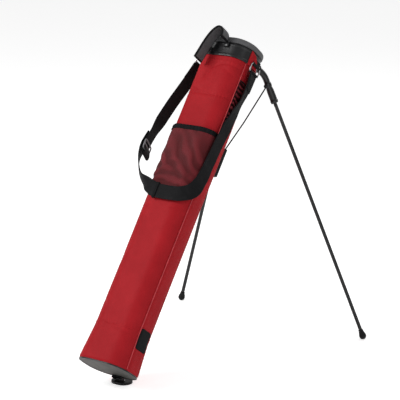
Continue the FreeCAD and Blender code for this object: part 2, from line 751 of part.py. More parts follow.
def build_leg(side, word):
    """One leg: moulded arm with socket and wire lug, metal tube, rubber foot."""
    frame = leg_frame(side)
    r = size("arm_radius")
    bend = size("arm_bend_radius")
    start = Vector(size("arm_straight"), 0, 0)
    half = size("knuckle_width") / 2
    knuckle = Part.makeCylinder(size("knuckle_radius"), 2 * half, Vector(0, -half, 0), Vector(0, 1, 0))
    section = Part.Wire(Part.makeCircle(r, Vector(), Vector(1, 0, 0)))
    centre = start - Vector(0, 0, bend)
    turn = LEG_SLOPE
    mid = centre + Vector(math.sin(turn / 2), 0, math.cos(turn / 2)) * bend
    bend_end = centre + Vector(math.sin(turn), 0, math.cos(turn)) * bend
    path = Part.Wire([
        Part.LineSegment(Vector(), start).toShape(),
        Part.Arc(start, mid, bend_end).toShape(),
        Part.LineSegment(bend_end, bend_end + TUBE_DIRECTION * size("arm_end")).toShape(),
    ])
    arm = path.makePipeShell([section], True, True)
    socket_start = SOCKET_END - TUBE_DIRECTION * size("socket_length")
    socket = rod(socket_start, SOCKET_END, size("socket_radius"))
    lug_at = Vector(size("lug_out"), 0, -size("lug_down"))
    thick = size("lug_thickness")
    lug = Part.makeCylinder(size("lug_radius"), thick, lug_at - Vector(0, thick / 2, 0), Vector(0, 1, 0))
    web_way = Vector(-TUBE_DIRECTION.z, 0, TUBE_DIRECTION.x)
    web = Part.makeBox(2 * size("lug_radius"), thick, size("lug_web"))
    web.translate(Vector(-size("lug_radius"), -thick / 2, 0))
    web.Placement = Placement(lug_at, Rotation(Vector(0, 0, 1), web_way)).multiply(web.Placement)
    body = knuckle.fuse([arm, socket, lug, web])
    gap = size("running_gap")
    across = Vector(0, 2 * half, 0)
    grip_start = SOCKET_END - TUBE_DIRECTION * size("tube_grip")
    bores = [
        rod(-across, across, size("hinge_pin_radius") + gap),
        rod(lug_at - across, lug_at + across, size("wire_radius") + gap),
        rod(grip_start, SOCKET_END + TUBE_DIRECTION, size("tube_radius")),
    ]
    solid("leg_arm_" + word, body.cut(bores).removeSplitter(), frame)
    reach = foot_centre()
    tube_end = SOCKET_END + TUBE_DIRECTION * (reach - 2)
    tube = rod(grip_start, tube_end, size("tube_radius"))
    solid("leg_tube_" + word, tube, frame)
    rr = size("rubber_radius")
    centre = SOCKET_END + TUBE_DIRECTION * reach
    neck_length = size("rubber_length") - rr
    neck_start = centre - TUBE_DIRECTION * neck_length
    ball = Part.makeSphere(rr, centre)
    neck = Part.makeCone(size("tube_radius") + 1.2, rr, neck_length, neck_start, TUBE_DIRECTION)
    foot = ball.fuse(neck).cut(tube)
    solid("leg_foot_" + word, foot.removeSplitter(), frame)


def build_wire(side, word):
    """Wire strut from the arm's lug to the guide on the back, and that guide."""
    frame = leg_frame(side)
    guide = Vector(side * size("guide_side"), size("guide_depth"), size("guide_level"))
    end = frame.inverse().multVec(BAG.multVec(guide))
    lug_at = Vector(size("lug_out"), 0, -size("lug_down"))
    inward = -side * size("wire_beside")
    start = lug_at + Vector(0, inward, 0)
    r = size("wire_radius")
    hook_end = lug_at - Vector(0, inward, 0)
    bend = start + (end - start) * size("wire_bend_share")
    bend.y = end.y
    wire = rod(start, hook_end, r).fuse([
        Part.makeSphere(r, start),
        rod(start, bend, r),
        Part.makeSphere(r, bend),
        rod(bend, end, r),
        Part.makeSphere(size("wire_ball_radius"), end),
    ])
    solid("wire_" + word, wire.removeSplitter(), frame)
    hx, hy, wall = size("guide_half_x"), size("guide_half_y"), size("guide_wall")
    local = Placement(Vector(end.x, end.y, 0), Rotation())
    low = size("guide_bottom") - size("hinge_level")
    high = size("guide_top") - size("hinge_level")
    outer = Part.makeBox(2 * (hx + wall), 2 * (hy + wall), high - low, Vector(-hx - wall, -hy - wall, low))
    outer = outer.makeFillet(wall, [e for e in outer.Edges if e.BoundBox.ZLength > 1])
    channel = Part.makeBox(2 * hx, 2 * hy, high - low, Vector(-hx, -hy, low + wall))
    slot_half = r + size("guide_slot_gap")
    slot = Part.makeBox(hx + 2 * wall, 2 * slot_half, high - low, Vector(0, -slot_half, low + wall))
    sleeve = outer.cut(channel).cut(slot)
    foot_length = size("guide_foot")
    foot_at = Vector(-hx - wall - foot_length + 0.5, -hy - wall, low)
    base = Part.makeBox(foot_length, 2 * (hy + wall), high - low, foot_at)
    sleeve = sleeve.fuse(base)
    sleeve.Placement = frame.multiply(local)
    fabric = tube_wall.Shape.copy()
    fabric.Placement = BAG
    sleeve = sleeve.cut(fabric)
    middle = BAG.multVec(Vector(0, 0, size("guide_level")))
    outermost = max(sleeve.Solids, key=lambda piece: piece.CenterOfMass.distanceToPoint(middle))
    node = doc.addObject("Part::Feature", "wire_guide_" + word)
    node.Shape = outermost
    node.Label = "wire_guide_" + word
    nodes.append(node)


# ---------------------------------------------------------------- foot plate

def build_foot_plate():
    """Tilting foot plate under the back edge of the base, its bracket and its pin."""
    pin = Vector(0, size("plate_pin_depth"), -size("plate_pin_drop"))
    pin_world = BAG.multVec(pin)
    r = size("plate_pin_radius")
    ear_r = size("plate_ear_radius")
    half = size("plate_pin_length") / 2
    solid("foot_pin", Part.makeCylinder(r, 2 * half, pin - Vector(half, 0, 0), Vector(1, 0, 0)), BAG)
    bore = Part.makeCylinder(r, 4 * half, pin - Vector(2 * half, 0, 0), Vector(1, 0, 0))
    ears = []
    thick = size("plate_ear_thickness")
    for x in (-half + 0.5, half - 0.5 - thick):
        ear = Part.makeCylinder(ear_r, thick, Vector(x, pin.y, pin.z), Vector(1, 0, 0))
        root_height = ear_r - size("rim_height") + size("plate_pin_drop")
        root = Part.makeBox(thick, size("plate_ear_root"), root_height)
        root.translate(Vector(x, pin.y - size("plate_ear_root"), pin.z - ear_r))
        ears.append(ear.fuse(root))
    bridge = Part.makeBox(2 * half - 1, size("plate_ear_root") - 6, 2)
    bridge.translate(Vector(-half + 0.5, pin.y - size("plate_ear_root"), -size("rim_height") - 2))
    bracket = bridge.fuse(ears).cut(bore)
    solid("foot_bracket", bracket.removeSplitter(), BAG)
    width, depth, height = size("plate_width"), size("plate_depth"), size("plate_thickness")
    end = (width - depth) / 2
    disc = Part.makeBox(2 * end, depth, height, Vector(-end, -depth / 2, 0))
    disc = disc.fuse([Part.makeCylinder(depth / 2, height, Vector(side * end, 0, 0)) for side in (1, -1)])
    disc = disc.removeSplitter()
    rims = [e for e in disc.Edges if e.BoundBox.ZLength < 0.01 and e.BoundBox.ZMin > height / 2]
    disc = disc.makeFillet(size("plate_round"), rims)
    knuckle_half = half - thick - 0.8
    reach = Vector(knuckle_half, 0, 0)
    knuckle = rod(pin_world - reach, pin_world + reach, ear_r - 0.2)
    post = Part.makeBox(2 * knuckle_half, 2 * ear_r - 0.4, pin_world.z - 1)
    post.translate(Vector(-knuckle_half, pin_world.y - ear_r + 0.2, 1))
    hole = rod(pin_world - 2 * reach, pin_world + 2 * reach, r + size("running_gap"))
    plate = disc.fuse([knuckle, post]).cut(hole)
    solid("foot_plate", plate.removeSplitter(), Placement())


build_piping()
build_layers()
build_peaks()
build_strap()
build_buckle()
build_keeper()
build_rings()
core = collar_core()
build_handle(core)
build_hinges(core)
for side, word in ((1, "right"), (-1, "left")):
    build_leg(side, word)
    build_wire(side, word)
build_foot_plate()
doc.recompute()

for obj in doc.Objects:
    if "Invalid" in obj.State or "Error" in obj.State:
        raise RuntimeError(f"{obj.Name}: {obj.State} {obj.getStatusString()}")
os.makedirs("parts", exist_ok=True)
for node in nodes:
    if node.Shape.isNull() or not node.Shape.isValid() or not node.Shape.Solids:
        raise RuntimeError(f"{node.Label} has no valid solid")
    node.Shape.exportStep(f"parts/{node.Label}.step")
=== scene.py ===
import math

import bpy
from mathutils import Matrix, Vector, noise


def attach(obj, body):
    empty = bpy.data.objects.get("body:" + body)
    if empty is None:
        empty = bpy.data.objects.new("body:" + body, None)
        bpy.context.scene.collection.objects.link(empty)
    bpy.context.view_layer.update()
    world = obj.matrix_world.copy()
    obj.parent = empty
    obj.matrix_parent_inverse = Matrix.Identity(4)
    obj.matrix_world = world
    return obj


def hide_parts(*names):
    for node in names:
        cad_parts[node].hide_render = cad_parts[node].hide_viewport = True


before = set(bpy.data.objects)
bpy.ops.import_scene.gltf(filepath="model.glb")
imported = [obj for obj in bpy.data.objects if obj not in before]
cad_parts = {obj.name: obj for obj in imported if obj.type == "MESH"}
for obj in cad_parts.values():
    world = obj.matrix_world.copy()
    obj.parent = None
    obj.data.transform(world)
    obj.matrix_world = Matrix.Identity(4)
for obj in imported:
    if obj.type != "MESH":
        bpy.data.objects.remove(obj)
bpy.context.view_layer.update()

MM = 0.001

# ---- sizes of the bag, in millimetres along its own axes: x to the right, n to the back, s up the tube
LEAN = math.radians(36.4)
BASE_BACK = -50.5
BASE_HEIGHT = 48.4
HALF_WIDTH = 65.3
HALF_DEPTH = 48.8
CORNER = 40.0
FLARE = 6.5
FLARE_HEIGHT = 85.0
FABRIC_TOP = 803.0
SEAM_RUN = 75.7
BACK_SEAM_RUN = 118.1
CROSS_SEAM = 697.0
TOP_HEM = 786.0
LOW_HEM = 96.0
POCKET_LOW = 436.0
POCKET_TOP = 603.0
STRAP_WIDTH = 36.0
STRAP_THICKNESS = 2.2

# ---- surface colours, linear
RED = (0.41, 0.011, 0.017)
# the piping cord's red, painted lighter than the cloth as a highlight along the seams
RED_CORD_HIGHLIT = (0.56, 0.060, 0.070)
# RED_DARK is the red cloth in painted shade: the weave's hollows and the cloth seen through the nets
RED_DARK = (0.28, 0.008, 0.012)
WINE = (0.165, 0.018, 0.025)
BLACK = (0.006, 0.006, 0.007)
BLACK_SOFT = (0.009, 0.009, 0.010)
GREY_GRIP = (0.105, 0.103, 0.108)
GREY_BEAD = (0.100, 0.100, 0.104)
GREY_BUCKLE = (0.21, 0.21, 0.22)
GREY_SOLE = (0.078, 0.074, 0.068)
STEEL = (0.55, 0.55, 0.56)


def scaled_colour(colour, scale, lift=0.0):
    """A colour made lighter or darker, and lifted towards grey."""
    return tuple(c * scale + lift for c in colour)


# ---------------------------------------------------------------- places on the bag

def bag(x, n, s):
    """A point given along the bag's own axes, in the row's frame, in metres."""
    back = BASE_BACK + n * math.cos(LEAN) + s * math.sin(LEAN)
    up = BASE_HEIGHT - n * math.sin(LEAN) + s * math.cos(LEAN)
    return Vector((x, back, up)) * MM


def bag_way(x, n, s):
    """A direction given along the bag's own axes."""
    way = Vector((x, n * math.cos(LEAN) + s * math.sin(LEAN), s * math.cos(LEAN) - n * math.sin(LEAN)))
    return way.normalized()


FLAT_X = HALF_WIDTH - CORNER
FLAT_N = HALF_DEPTH - CORNER
QUARTER = math.pi * CORNER / 2
AROUND = 4 * (FLAT_X + FLAT_N + QUARTER)


def oval(run, grow=0.0):
    """Point and outward normal on the bag's oval, run millimetres round from the front's middle."""
    left = run % AROUND
    mirrored = left > AROUND / 2
    if mirrored:
        left = AROUND - left
    side_start = FLAT_X + QUARTER
    back_start = side_start + 2 * FLAT_N
    if left < FLAT_X:
        x, n, turn = left, -HALF_DEPTH, -math.pi / 2
    elif left < side_start:
        turn = (left - FLAT_X) / CORNER - math.pi / 2
        x, n = FLAT_X + CORNER * math.cos(turn), -FLAT_N + CORNER * math.sin(turn)
    elif left < back_start:
        x, n, turn = HALF_WIDTH, left - side_start - FLAT_N, 0.0
    elif left < back_start + QUARTER:
        turn = (left - back_start) / CORNER
        x, n = FLAT_X + CORNER * math.cos(turn), FLAT_N + CORNER * math.sin(turn)
    else:
        x, n, turn = AROUND / 2 - left, HALF_DEPTH, math.pi / 2
    out_x, out_n = math.cos(turn), math.sin(turn)
    if mirrored:
        x, out_x = -x, -out_x
    return x + grow * out_x, n + grow * out_n, out_x, out_n


def flare(s):
    """How far the tube widens at height s, towards its base."""
    return FLARE * max(0.0, 1 - s / FLARE_HEIGHT)


def skin(run, s, lift=0.0):
    """A point at a height above the tube's fabric."""
    x, n, _, _ = oval(run, flare(s) + lift)
    return bag(x, n, s)


def skin_normal(run):
    _, _, out_x, out_n = oval(run)
    return bag_way(out_x, out_n, 0)


def on_skin(run, s, lift):
    """A point above the fabric with its outward normal, for cords and stitches."""
    return skin(run, s, lift), skin_normal(run)


def span(start, end, step):
    """Evenly spaced numbers from start to end, about step apart."""
    count = max(1, round(abs(end - start) / step))
    return [start + (end - start) * i / count for i in range(count + 1)]


def bell(value, width):
    """A smooth bump of height one around zero."""
    return math.exp(-(value / width) ** 2)


def ease(value, low, high):
    """Smooth step from nought at low to one at high."""
    share = min(max((value - low) / (high - low), 0.0), 1.0)
    return share * share * (3 - 2 * share)


def cloud(a, b, seed):
    """Smooth noise between about minus one and one."""
    return noise.noise(Vector((a, b, seed)))


# ---------------------------------------------------------------- meshes

def shade_smooth(mesh):
    mesh.polygons.foreach_set("use_smooth", [True] * len(mesh.polygons))


def shown(name, mesh):
    """A new object in the scene for a mesh."""
    piece = bpy.data.objects.new(name, mesh)
    bpy.context.scene.collection.objects.link(piece)
    return piece


def mesh_piece(name, points, faces, lay, material):
    """A mesh object. lay holds each point's place on the flat cloth, for weave and net."""
    mesh = bpy.data.meshes.new(name)
    mesh.from_pydata(points, [], faces)
    flat = mesh.attributes.new("lay", "FLOAT_VECTOR", "POINT")
    flat.data.foreach_set("vector", [value for spot in lay for value in spot])
    mesh.materials.append(material)
    shade_smooth(mesh)
    return shown(name, mesh)


def grid_faces(rows, columns, ring=False, loop=False, offset=0):
    """Faces of a grid: ring joins each row's ends, loop joins the last row to the first."""
    faces = []
    for i in range(rows if loop else rows - 1):
        for j in range(columns if ring else columns - 1):
            i2, j2 = (i + 1) % rows, (j + 1) % columns
            faces.append(tuple(offset + k for k in (
                i * columns + j, i * columns + j2, i2 * columns + j2, i2 * columns + j)))
    return faces


def grid_piece(name, rows, lay, material, ring=False, loop=False):
    """A sheet or tube whose rows of points are joined; an open tube gets its two ends closed."""
    columns = len(rows[0])
    points = [point for row in rows for point in row]
    faces = grid_faces(len(rows), columns, ring, loop)
    if ring and not loop:
        faces.append(tuple(reversed(range(columns))))
        faces.append(tuple(range(len(points) - columns, len(points))))
    return mesh_piece(name, points, faces, [spot for row in lay for spot in row], material)


def thicken(piece, thickness):
    """Gives a sheet its thickness, inwards."""
    shell = piece.modifiers.new("thickness", "SOLIDIFY")
    shell.thickness = thickness * MM
    shell.offset = -1
    shell.use_even_offset = False
    return piece


def skin_sheet(name, runs, levels, lift, mark, material, thickness, middle=0.0):
    """A thin sheet over the tube. lift gives its height at (run, s); mark is stored for its material, and the
    nets paint their fold shade from it.
    """
    rows = [[skin(middle + run, s, lift(run, s)) for run in runs] for s in levels]
    lay = [[Vector((run, s, mark(run, s))) * MM for run in runs] for s in levels]
    return thicken(grid_piece(name, rows, lay, material), thickness)


def place_piece(piece, body, slot, *nodes):
    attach(piece, body)
    if nodes:
        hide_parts(*nodes)
    return piece


def smooth_run(points, normals, step):
    """Points, tangents and normals along a smooth curve through the given points, in bag millimetres."""
    points = [Vector(p) for p in points]
    normals = [Vector(v) for v in normals]
    ends = [points[0] * 2 - points[1]] + points + [points[-1] * 2 - points[-2]]
    result = []
    for i in range(len(points) - 1):
        a, b, c, d = ends[i:i + 4]
        count = max(2, round((c - b).length / step))
        for k in range(count + (1 if i == len(points) - 2 else 0)):
            u = k / count
            point = 0.5 * (2 * b + (c - a) * u + (2 * a - 5 * b + 4 * c - d) * u ** 2
                           + (3 * b - 3 * c + d - a) * u ** 3)
            way = 0.5 * ((c - a) + 2 * (2 * a - 5 * b + 4 * c - d) * u + 3 * (3 * b - 3 * c + d - a) * u ** 2)
            way.normalize()
            blend = u * u * (3 - 2 * u)
            normal = normals[i] * (1 - blend) + normals[i + 1] * blend
            normal = (normal - way * normal.dot(way)).normalized()
            result.append((point, way, normal))
    return result


def facings(points, axis):
    """A normal for each point of a path, square to the path and to axis."""
    normals = []
    for i in range(len(points)):
        way = points[min(i + 1, len(points) - 1)] - points[max(i - 1, 0)]
        normals.append(axis.cross(way).normalized())
    return normals


def flat_section(width, thickness, edge):
    """Cross-section of a flat band: rounded edges, closed, as (across, out) pairs."""
    flat, thick = width / 2 - edge, thickness / 2
    turns = (-1.1, -0.55, 0.0, 0.55, 1.1)
    face = span(flat, -flat, 1.8)
    right = [(flat + edge * math.cos(turn), thick * math.sin(turn)) for turn in turns]
    left = [(-across, out) for across, out in reversed(right)]
    top = [(across, thick) for across in face]
    low = [(-across, -thick) for across in face]
    return right + top + left + low


def band(name, run, width, thickness, material, relief=None, edge=1.0):
    """A flat band along a run of points. relief(along, across) lifts its outer face."""
    section = flat_section(width, thickness, edge)
    rows, lay, along, last = [], [], 0.0, None
    for point, way, normal in run:
        along += (point - last).length if last is not None else 0.0
        last = point
        side = normal.cross(way)
        row, spots = [], []
        for across, out in section:
            lift = relief(along, across) if relief and out > 0 else 0.0
            spot = point + side * across + normal * (out + lift)
            row.append(bag(*spot))
            spots.append(Vector((across, along, out)) * MM)
        rows.append(row)
        lay.append(spots)
    return grid_piece(name, rows, lay, material, ring=True)


def hoop(centre, side, other, radius, turns):
    """Points of a circle of a radius in millimetres round a centre in metres."""
    return [centre + (side * math.cos(t) + other * math.sin(t)) * radius * MM for t in turns]


def turns_of(sides):
    """The turn of each side of a ring."""
    return [2 * math.pi * k / sides for k in range(sides)]


def lathe(name, start, end, profile, material, sides=28):
    """A turned piece between two points in metres. profile holds (share of the length, radius in mm)."""
    way = (end - start).normalized()
    side = way.orthogonal().normalized()
    other = way.cross(side)
    rows, lay = [], []
    turns = turns_of(sides)
    for share, radius in profile:
        centre = start.lerp(end, share)
        rows.append(hoop(centre, side, other, radius, turns))
        lay.append([Vector((t * radius * MM, (centre - start).length, 0)) for t in turns])
    return grid_piece(name, rows, lay, material, ring=True)


def bent_wire(name, points, radius, material, closed=False, corner=0.0):
    """Round wire through points in metres, its corners rounded, as one mesh."""
    curve = bpy.data.curves.new(name, "CURVE")
    curve.dimensions = "3D"
    curve.bevel_depth = radius * MM
    curve.bevel_resolution = 4
    curve.use_fill_caps = True
    path = rounded_path(points, corner, closed)
    spline = curve.splines.new("POLY")
    spline.points.add(len(path) - 1)
    for target, point in zip(spline.points, path):
        target.co = (*point, 1)
    spline.use_cyclic_u = closed
    holder = bpy.data.objects.new(name + "_path", curve)
    mesh = bpy.data.meshes.new_from_object(holder)
    bpy.data.objects.remove(holder)
    mesh.name = name
    mesh.materials.clear()
    mesh.materials.append(material)
    shade_smooth(mesh)
    lay = mesh.attributes.new("lay", "FLOAT_VECTOR", "POINT")
    lay.data.foreach_set("vector", [value for v in mesh.vertices for value in v.co])
    return shown(name, mesh)


def rounded_path(points, corner, closed):
    """The points with each corner replaced by a short curve, corner metres long on each side."""
    if corner <= 0:
        return [Vector(p) for p in points]
    count = len(points)
    path = []
    for i, point in enumerate(points):
        if not closed and i in (0, count - 1):
            path.append(Vector(point))
            continue
        before, after = points[(i - 1) % count], points[(i + 1) % count]
        start = point + (before - point).normalized() * min(corner, (before - point).length * 0.45)
        end = point + (after - point).normalized() * min(corner, (after - point).length * 0.45)
        for k in range(9):
            u = k / 8
            path.append(start * (1 - u) ** 2 + point * 2 * u * (1 - u) + end * u ** 2)
    return path


def stitch_row(name, path, pitch, length, radius, material):
    """Thread stitches along a path of (point, outward normal) pairs, in metres."""
    points, faces, lay = [], [], []
    travelled, target = 0.0, pitch * MM / 2
    for (a, normal), (b, _) in zip(path, path[1:]):
        step = (b - a).length
        while step > 0 and travelled + step >= target:
            centre = a.lerp(b, (target - travelled) / step)
            add_stitch(points, faces, lay, centre, (b - a) / step, normal, length * MM, radius * MM)
            target += pitch * MM
        travelled += step
    return mesh_piece(name, points, faces, lay, material)


def add_stitch(points, faces, lay, centre, way, normal, length, radius):
    """One stitch: a small thread that dips into the cloth at both ends."""
    side = normal.cross(way).normalized()
    first = len(points)
    sides = 6
    for share, wide in ((-0.5, 0.35), (-0.36, 0.9), (0.0, 1.0), (0.36, 0.9), (0.5, 0.35)):
        middle = centre + way * length * share + normal * radius * (0.5 - 3.2 * share * share)
        for k in range(sides):
            angle = 2 * math.pi * k / sides
            points.append(middle + (side * math.cos(angle) + normal * math.sin(angle)) * radius * wide)
            lay.append(Vector((k * radius, share * length, 0)))
    faces.extend(grid_faces(5, sides, ring=True, offset=first))
    faces.append(tuple(first + k for k in reversed(range(sides))))
    faces.append(tuple(first + 4 * sides + k for k in range(sides)))


def sew(name, path, pitch, length, radius, thread, slot):
    """A row of stitches on the bag."""
    return place_piece(stitch_row(name, path, pitch, length, radius, thread), "bag", slot)


# ---------------------------------------------------------------- patterns shared by materials

class Nodes:
    """Adds nodes to one node tree and links them."""

    def __init__(self, tree):
        self.tree = tree

    def add(self, kind, settings=None, **inputs):
        made = self.tree.nodes.new(kind)
        for key, value in (settings or {}).items():
            setattr(made, key, value)
        for key, value in inputs.items():
            self.feed(made, key, value)
        return made

    def feed(self, target, key, value):
        socket = target.inputs[int(key[1:])] if key[0] == "i" and key[1:].isdigit() else target.inputs[key]
        if isinstance(value, bpy.types.NodeSocket):
            self.tree.links.new(value, socket)
        else:
            socket.default_value = value

    def math(self, operation, *values):
        made = self.add("ShaderNodeMath", {"operation": operation})
        for index, value in enumerate(values):
            self.feed(made, f"i{index}", value)
        return made.outputs[0]

    def vector(self, operation, *values, output=0):
        made = self.add("ShaderNodeVectorMath", {"operation": operation})
        for index, value in enumerate(values):
            self.feed(made, f"i{index}", value)
        return made.outputs[output]

    def scaled(self, vector, scale):
        made = self.add("ShaderNodeVectorMath", {"operation": "SCALE"}, i0=vector)
        self.feed(made, "Scale", scale)
        return made.outputs[0]

    def between(self, value, low, high):
        made = self.add("ShaderNodeMapRange", {"interpolation_type": "SMOOTHSTEP"})
        for key, item in (("Value", value), ("From Min", low), ("From Max", high)):
            self.feed(made, key, item)
        return made.outputs[0]


def pattern(name, inputs, outputs):
    """A new shader node group with float or vector inputs and float outputs."""
    group = bpy.data.node_groups.new(name, "ShaderNodeTree")
    for label, kind, value in inputs:
        socket = group.interface.new_socket(label, in_out="INPUT", socket_type=kind)
        if kind == "NodeSocketFloat":
            socket.default_value = value
    for label in outputs:
        group.interface.new_socket(label, in_out="OUTPUT", socket_type="NodeSocketFloat")
    build = Nodes(group)
    return group, build, build.add("NodeGroupInput"), build.add("NodeGroupOutput")


def make_weave():
    """Plain weave: threads that pass over and under each other."""
    group, build, given, result = pattern(
        "plain_weave",
        [("Spot", "NodeSocketVector", None), ("Threads", "NodeSocketFloat", 1000.0)],
        ["Height"])
    spot = build.scaled(given.outputs["Spot"], given.outputs["Threads"])
    axes = build.add("ShaderNodeSeparateXYZ", i0=spot).outputs
    humps, cells = [], []
    for axis in (axes[0], axes[1]):
        wave = build.math("SINE", build.math("MULTIPLY", axis, math.pi))
        humps.append(build.math("ABSOLUTE", wave))
        cells.append(build.math("FLOOR", axis))
    odd = build.math("PINGPONG", build.math("ADD", cells[0], cells[1]), 1.0)
    over = build.math("MULTIPLY", humps[0], build.math("MULTIPLY_ADD", humps[1], 0.5, 0.5))
    under = build.math("MULTIPLY", humps[1], build.math("MULTIPLY_ADD", humps[0], 0.5, 0.5))
    chosen = build.add("ShaderNodeMix", {"data_type": "FLOAT"}, Factor=odd, A=over, B=under)
    build.feed(result, "Height", chosen.outputs[0])
    return group


def make_net():
    """Knitted net: rows of round holes, each row set half a hole along."""
    group, build, given, result = pattern(
        "net",
        [("Spot", "NodeSocketVector", None), ("Holes", "NodeSocketFloat", 500.0),
         ("Open", "NodeSocketFloat", 0.36)],
        ["Thread", "Height"])
    spot = build.scaled(given.outputs["Spot"], given.outputs["Holes"])
    spot = build.vector("MULTIPLY", spot, (1.0, 0.577, 0.0))
    lengths = []
    for shift in ((0.0, 0.0, 0.0), (0.5, 0.5, 0.0)):
        cell = build.vector("FRACTION", build.vector("ADD", spot, shift))
        cell = build.vector("MULTIPLY", build.vector("SUBTRACT", cell, (0.5, 0.5, 0.0)), (1.0, 1.732, 0.0))
        lengths.append(build.vector("LENGTH", cell, output=1))
    nearest = build.math("MINIMUM", lengths[0], lengths[1])
    rim = build.math("ADD", given.outputs["Open"], 0.08)
    thread = build.between(nearest, given.outputs["Open"], rim)
    build.feed(result, "Thread", thread)
    build.feed(result, "Height", build.math("MULTIPLY", thread, build.math("ADD", nearest, 0.4)))
    return group


def make_ribs():
    """Straight ribs across a band, with the fainter lines of its long threads."""
    group, build, given, result = pattern(
        "ribs",
        [("Spot", "NodeSocketVector", None), ("Along", "NodeSocketFloat", 900.0),
         ("Across", "NodeSocketFloat", 500.0), ("Slant", "NodeSocketFloat", 0.0)],
        ["Height"])
    axes = build.add("ShaderNodeSeparateXYZ", i0=given.outputs["Spot"]).outputs
    across = build.math("MULTIPLY", axes[0], given.outputs["Across"])
    along = build.math("MULTIPLY", axes[1], given.outputs["Along"])
    slanted = build.math("ADD", along, build.math("MULTIPLY", across, given.outputs["Slant"]))
    rib = build.math("ABSOLUTE", build.math("SINE", build.math("MULTIPLY", slanted, math.pi)))
    line = build.math("ABSOLUTE", build.math("SINE", build.math("MULTIPLY", across, math.pi)))
    both = build.math("MULTIPLY_ADD", rib, 0.65, build.math("MULTIPLY", line, 0.35))
    build.feed(result, "Height", both)
    return group


def make_grain():
    """Fine pebbled grain of moulded plastic or rubber."""
    group, build, given, result = pattern(
        "moulded_grain",
        [("Spot", "NodeSocketVector", None), ("Pebbles", "NodeSocketFloat", 1200.0)],
        ["Height"])
    spot, pebbles = given.outputs["Spot"], given.outputs["Pebbles"]
    cells = build.add("ShaderNodeTexVoronoi", {"feature": "SMOOTH_F1"}, Vector=spot, Scale=pebbles)
    dust = build.add("ShaderNodeTexNoise", Vector=spot, Scale=build.math("MULTIPLY", pebbles, 2.3))
    mixed = build.math("MULTIPLY_ADD", dust.outputs[0], 0.35, cells.outputs["Distance"])
    build.feed(result, "Height", mixed)
    return group


def make_patches():
    """Soft uneven patches, for fading, dust and rubbed places."""
    group, build, given, result = pattern(
        "soft_patches",
        [("Spot", "NodeSocketVector", None), ("Size", "NodeSocketFloat", 14.0),
         ("Low", "NodeSocketFloat", 0.4), ("High", "NodeSocketFloat", 0.65)],
        ["Mask"])
    spot, size = given.outputs["Spot"], given.outputs["Size"]
    clouds = build.add("ShaderNodeTexNoise", Detail=5.0, Roughness=0.62, Vector=spot, Scale=size)
    mask = build.between(clouds.outputs[0], given.outputs["Low"], given.outputs["High"])
    build.feed(result, "Mask", mask)
    return group


WEAVE = make_weave()
NET = make_net()
RIBS = make_ribs()
GRAIN = make_grain()
PATCHES = make_patches()
NET_HOLES = 560.0


# ---------------------------------------------------------------- materials

class Finish:
    """One material: a shader, and the patterns that feed it."""

    def __init__(self, name, on_cad=False, **settings):
        self.material = bpy.data.materials.new(name)
        self.material.use_nodes = True
        self.build = Nodes(self.material.node_tree)
        self.shader = next(n for n in self.build.tree.nodes if n.type == "BSDF_PRINCIPLED")
        if on_cad:
            self.spot = self.build.add("ShaderNodeTexCoord").outputs["Object"]
        else:
            self.spot = self.build.add("ShaderNodeAttribute", {"attribute_name": "lay"}).outputs["Vector"]
        for socket, value in settings.items():
            self.shader.inputs[socket.replace("_", " ")].default_value = value

    def pattern(self, group, **values):
        return self.build.add("ShaderNodeGroup", {"node_tree": group}, Spot=self.spot, **values).outputs

    def patches(self, size, low, high):
        return self.pattern(PATCHES, Size=size, Low=low, High=high)["Mask"]

    def colour(self, mask, first, second):
        """A colour that goes from first to second with the mask; either may be a socket."""
        mix = self.build.add("ShaderNodeMix", {"data_type": "RGBA"}, Factor=mask)
        for key, value in (("A", first), ("B", second)):
            socket = [s for s in mix.inputs if s.name == key and s.type == "RGBA"][0]
            if isinstance(value, bpy.types.NodeSocket):
                self.build.tree.links.new(value, socket)
            else:
                socket.default_value = (*value, 1)
        return next(s for s in mix.outputs if s.type == "RGBA")

    def base(self, colour):
        self.build.feed(self.shader, "Base Color", colour)

    def fade(self, mask, amount, first, second):
        """Base colour that goes part of the way from first to second with the mask."""
        self.base(self.colour(self.build.math("MULTIPLY", mask, amount), first, second))

    def rough(self, mask, low, high):
        value = self.build.math("MULTIPLY_ADD", mask, high - low, low)
        self.build.feed(self.shader, "Roughness", value)

    def bumps(self, *layers):
        """Stacks bump layers, each (height, strength, depth in millimetres)."""
        normal = None
        for height, strength, depth in layers:
            bump = self.build.add("ShaderNodeBump", Strength=strength, Distance=depth * MM, Height=height)
            if normal is not None:
                self.build.feed(bump, "Normal", normal)
            normal = bump.outputs[0]
        self.build.feed(self.shader, "Normal", normal)


def make_fabric(name, colour, shade, threads=1100.0):
    """Coated woven nylon: fine weave, soft sheen, slight fading."""
    finish = Finish(name, Sheen_Weight=0.01, Sheen_Roughness=0.4, Specular_IOR_Level=0.09)
    weave = finish.pattern(WEAVE, Threads=threads)["Height"]
    fade = finish.patches(9.0, 0.35, 0.7)
    crumple = finish.patches(60.0, 0.3, 0.75)
    woven = finish.colour(weave, shade, colour)
    lighter = tuple(min(1.0, c * 1.18 + 0.004) for c in colour)
    finish.fade(fade, 0.45, woven, lighter)
    finish.rough(weave, 0.62, 0.48)
    finish.bumps((crumple, 0.4, 0.6), (weave, 0.55, 0.12))
    return finish.material


def net_over(finish, opening, crest, deep, thread, cloth_in_shade):
    """Net over the red cloth, which shows through its holes in painted shade. Painted shade in the folds: the
    thread goes from deep to its own colour as the folds rise.
    """
    net = finish.pattern(NET, Holes=NET_HOLES, Open=opening)
    height = finish.build.add("ShaderNodeSeparateXYZ", i0=finish.spot).outputs[2]
    # painted shade: fold valleys take the deep colour, crests the thread's own colour; the holes show the
    # cloth in painted shade
    raised = finish.build.between(height, crest[0] * MM, crest[1] * MM)
    finish.base(finish.colour(net["Thread"], cloth_in_shade, finish.colour(raised, deep, thread)))
    finish.rough(net["Thread"], 0.85, 0.62)
    finish.bumps((net["Height"], 0.8, 0.35))
    return finish.material


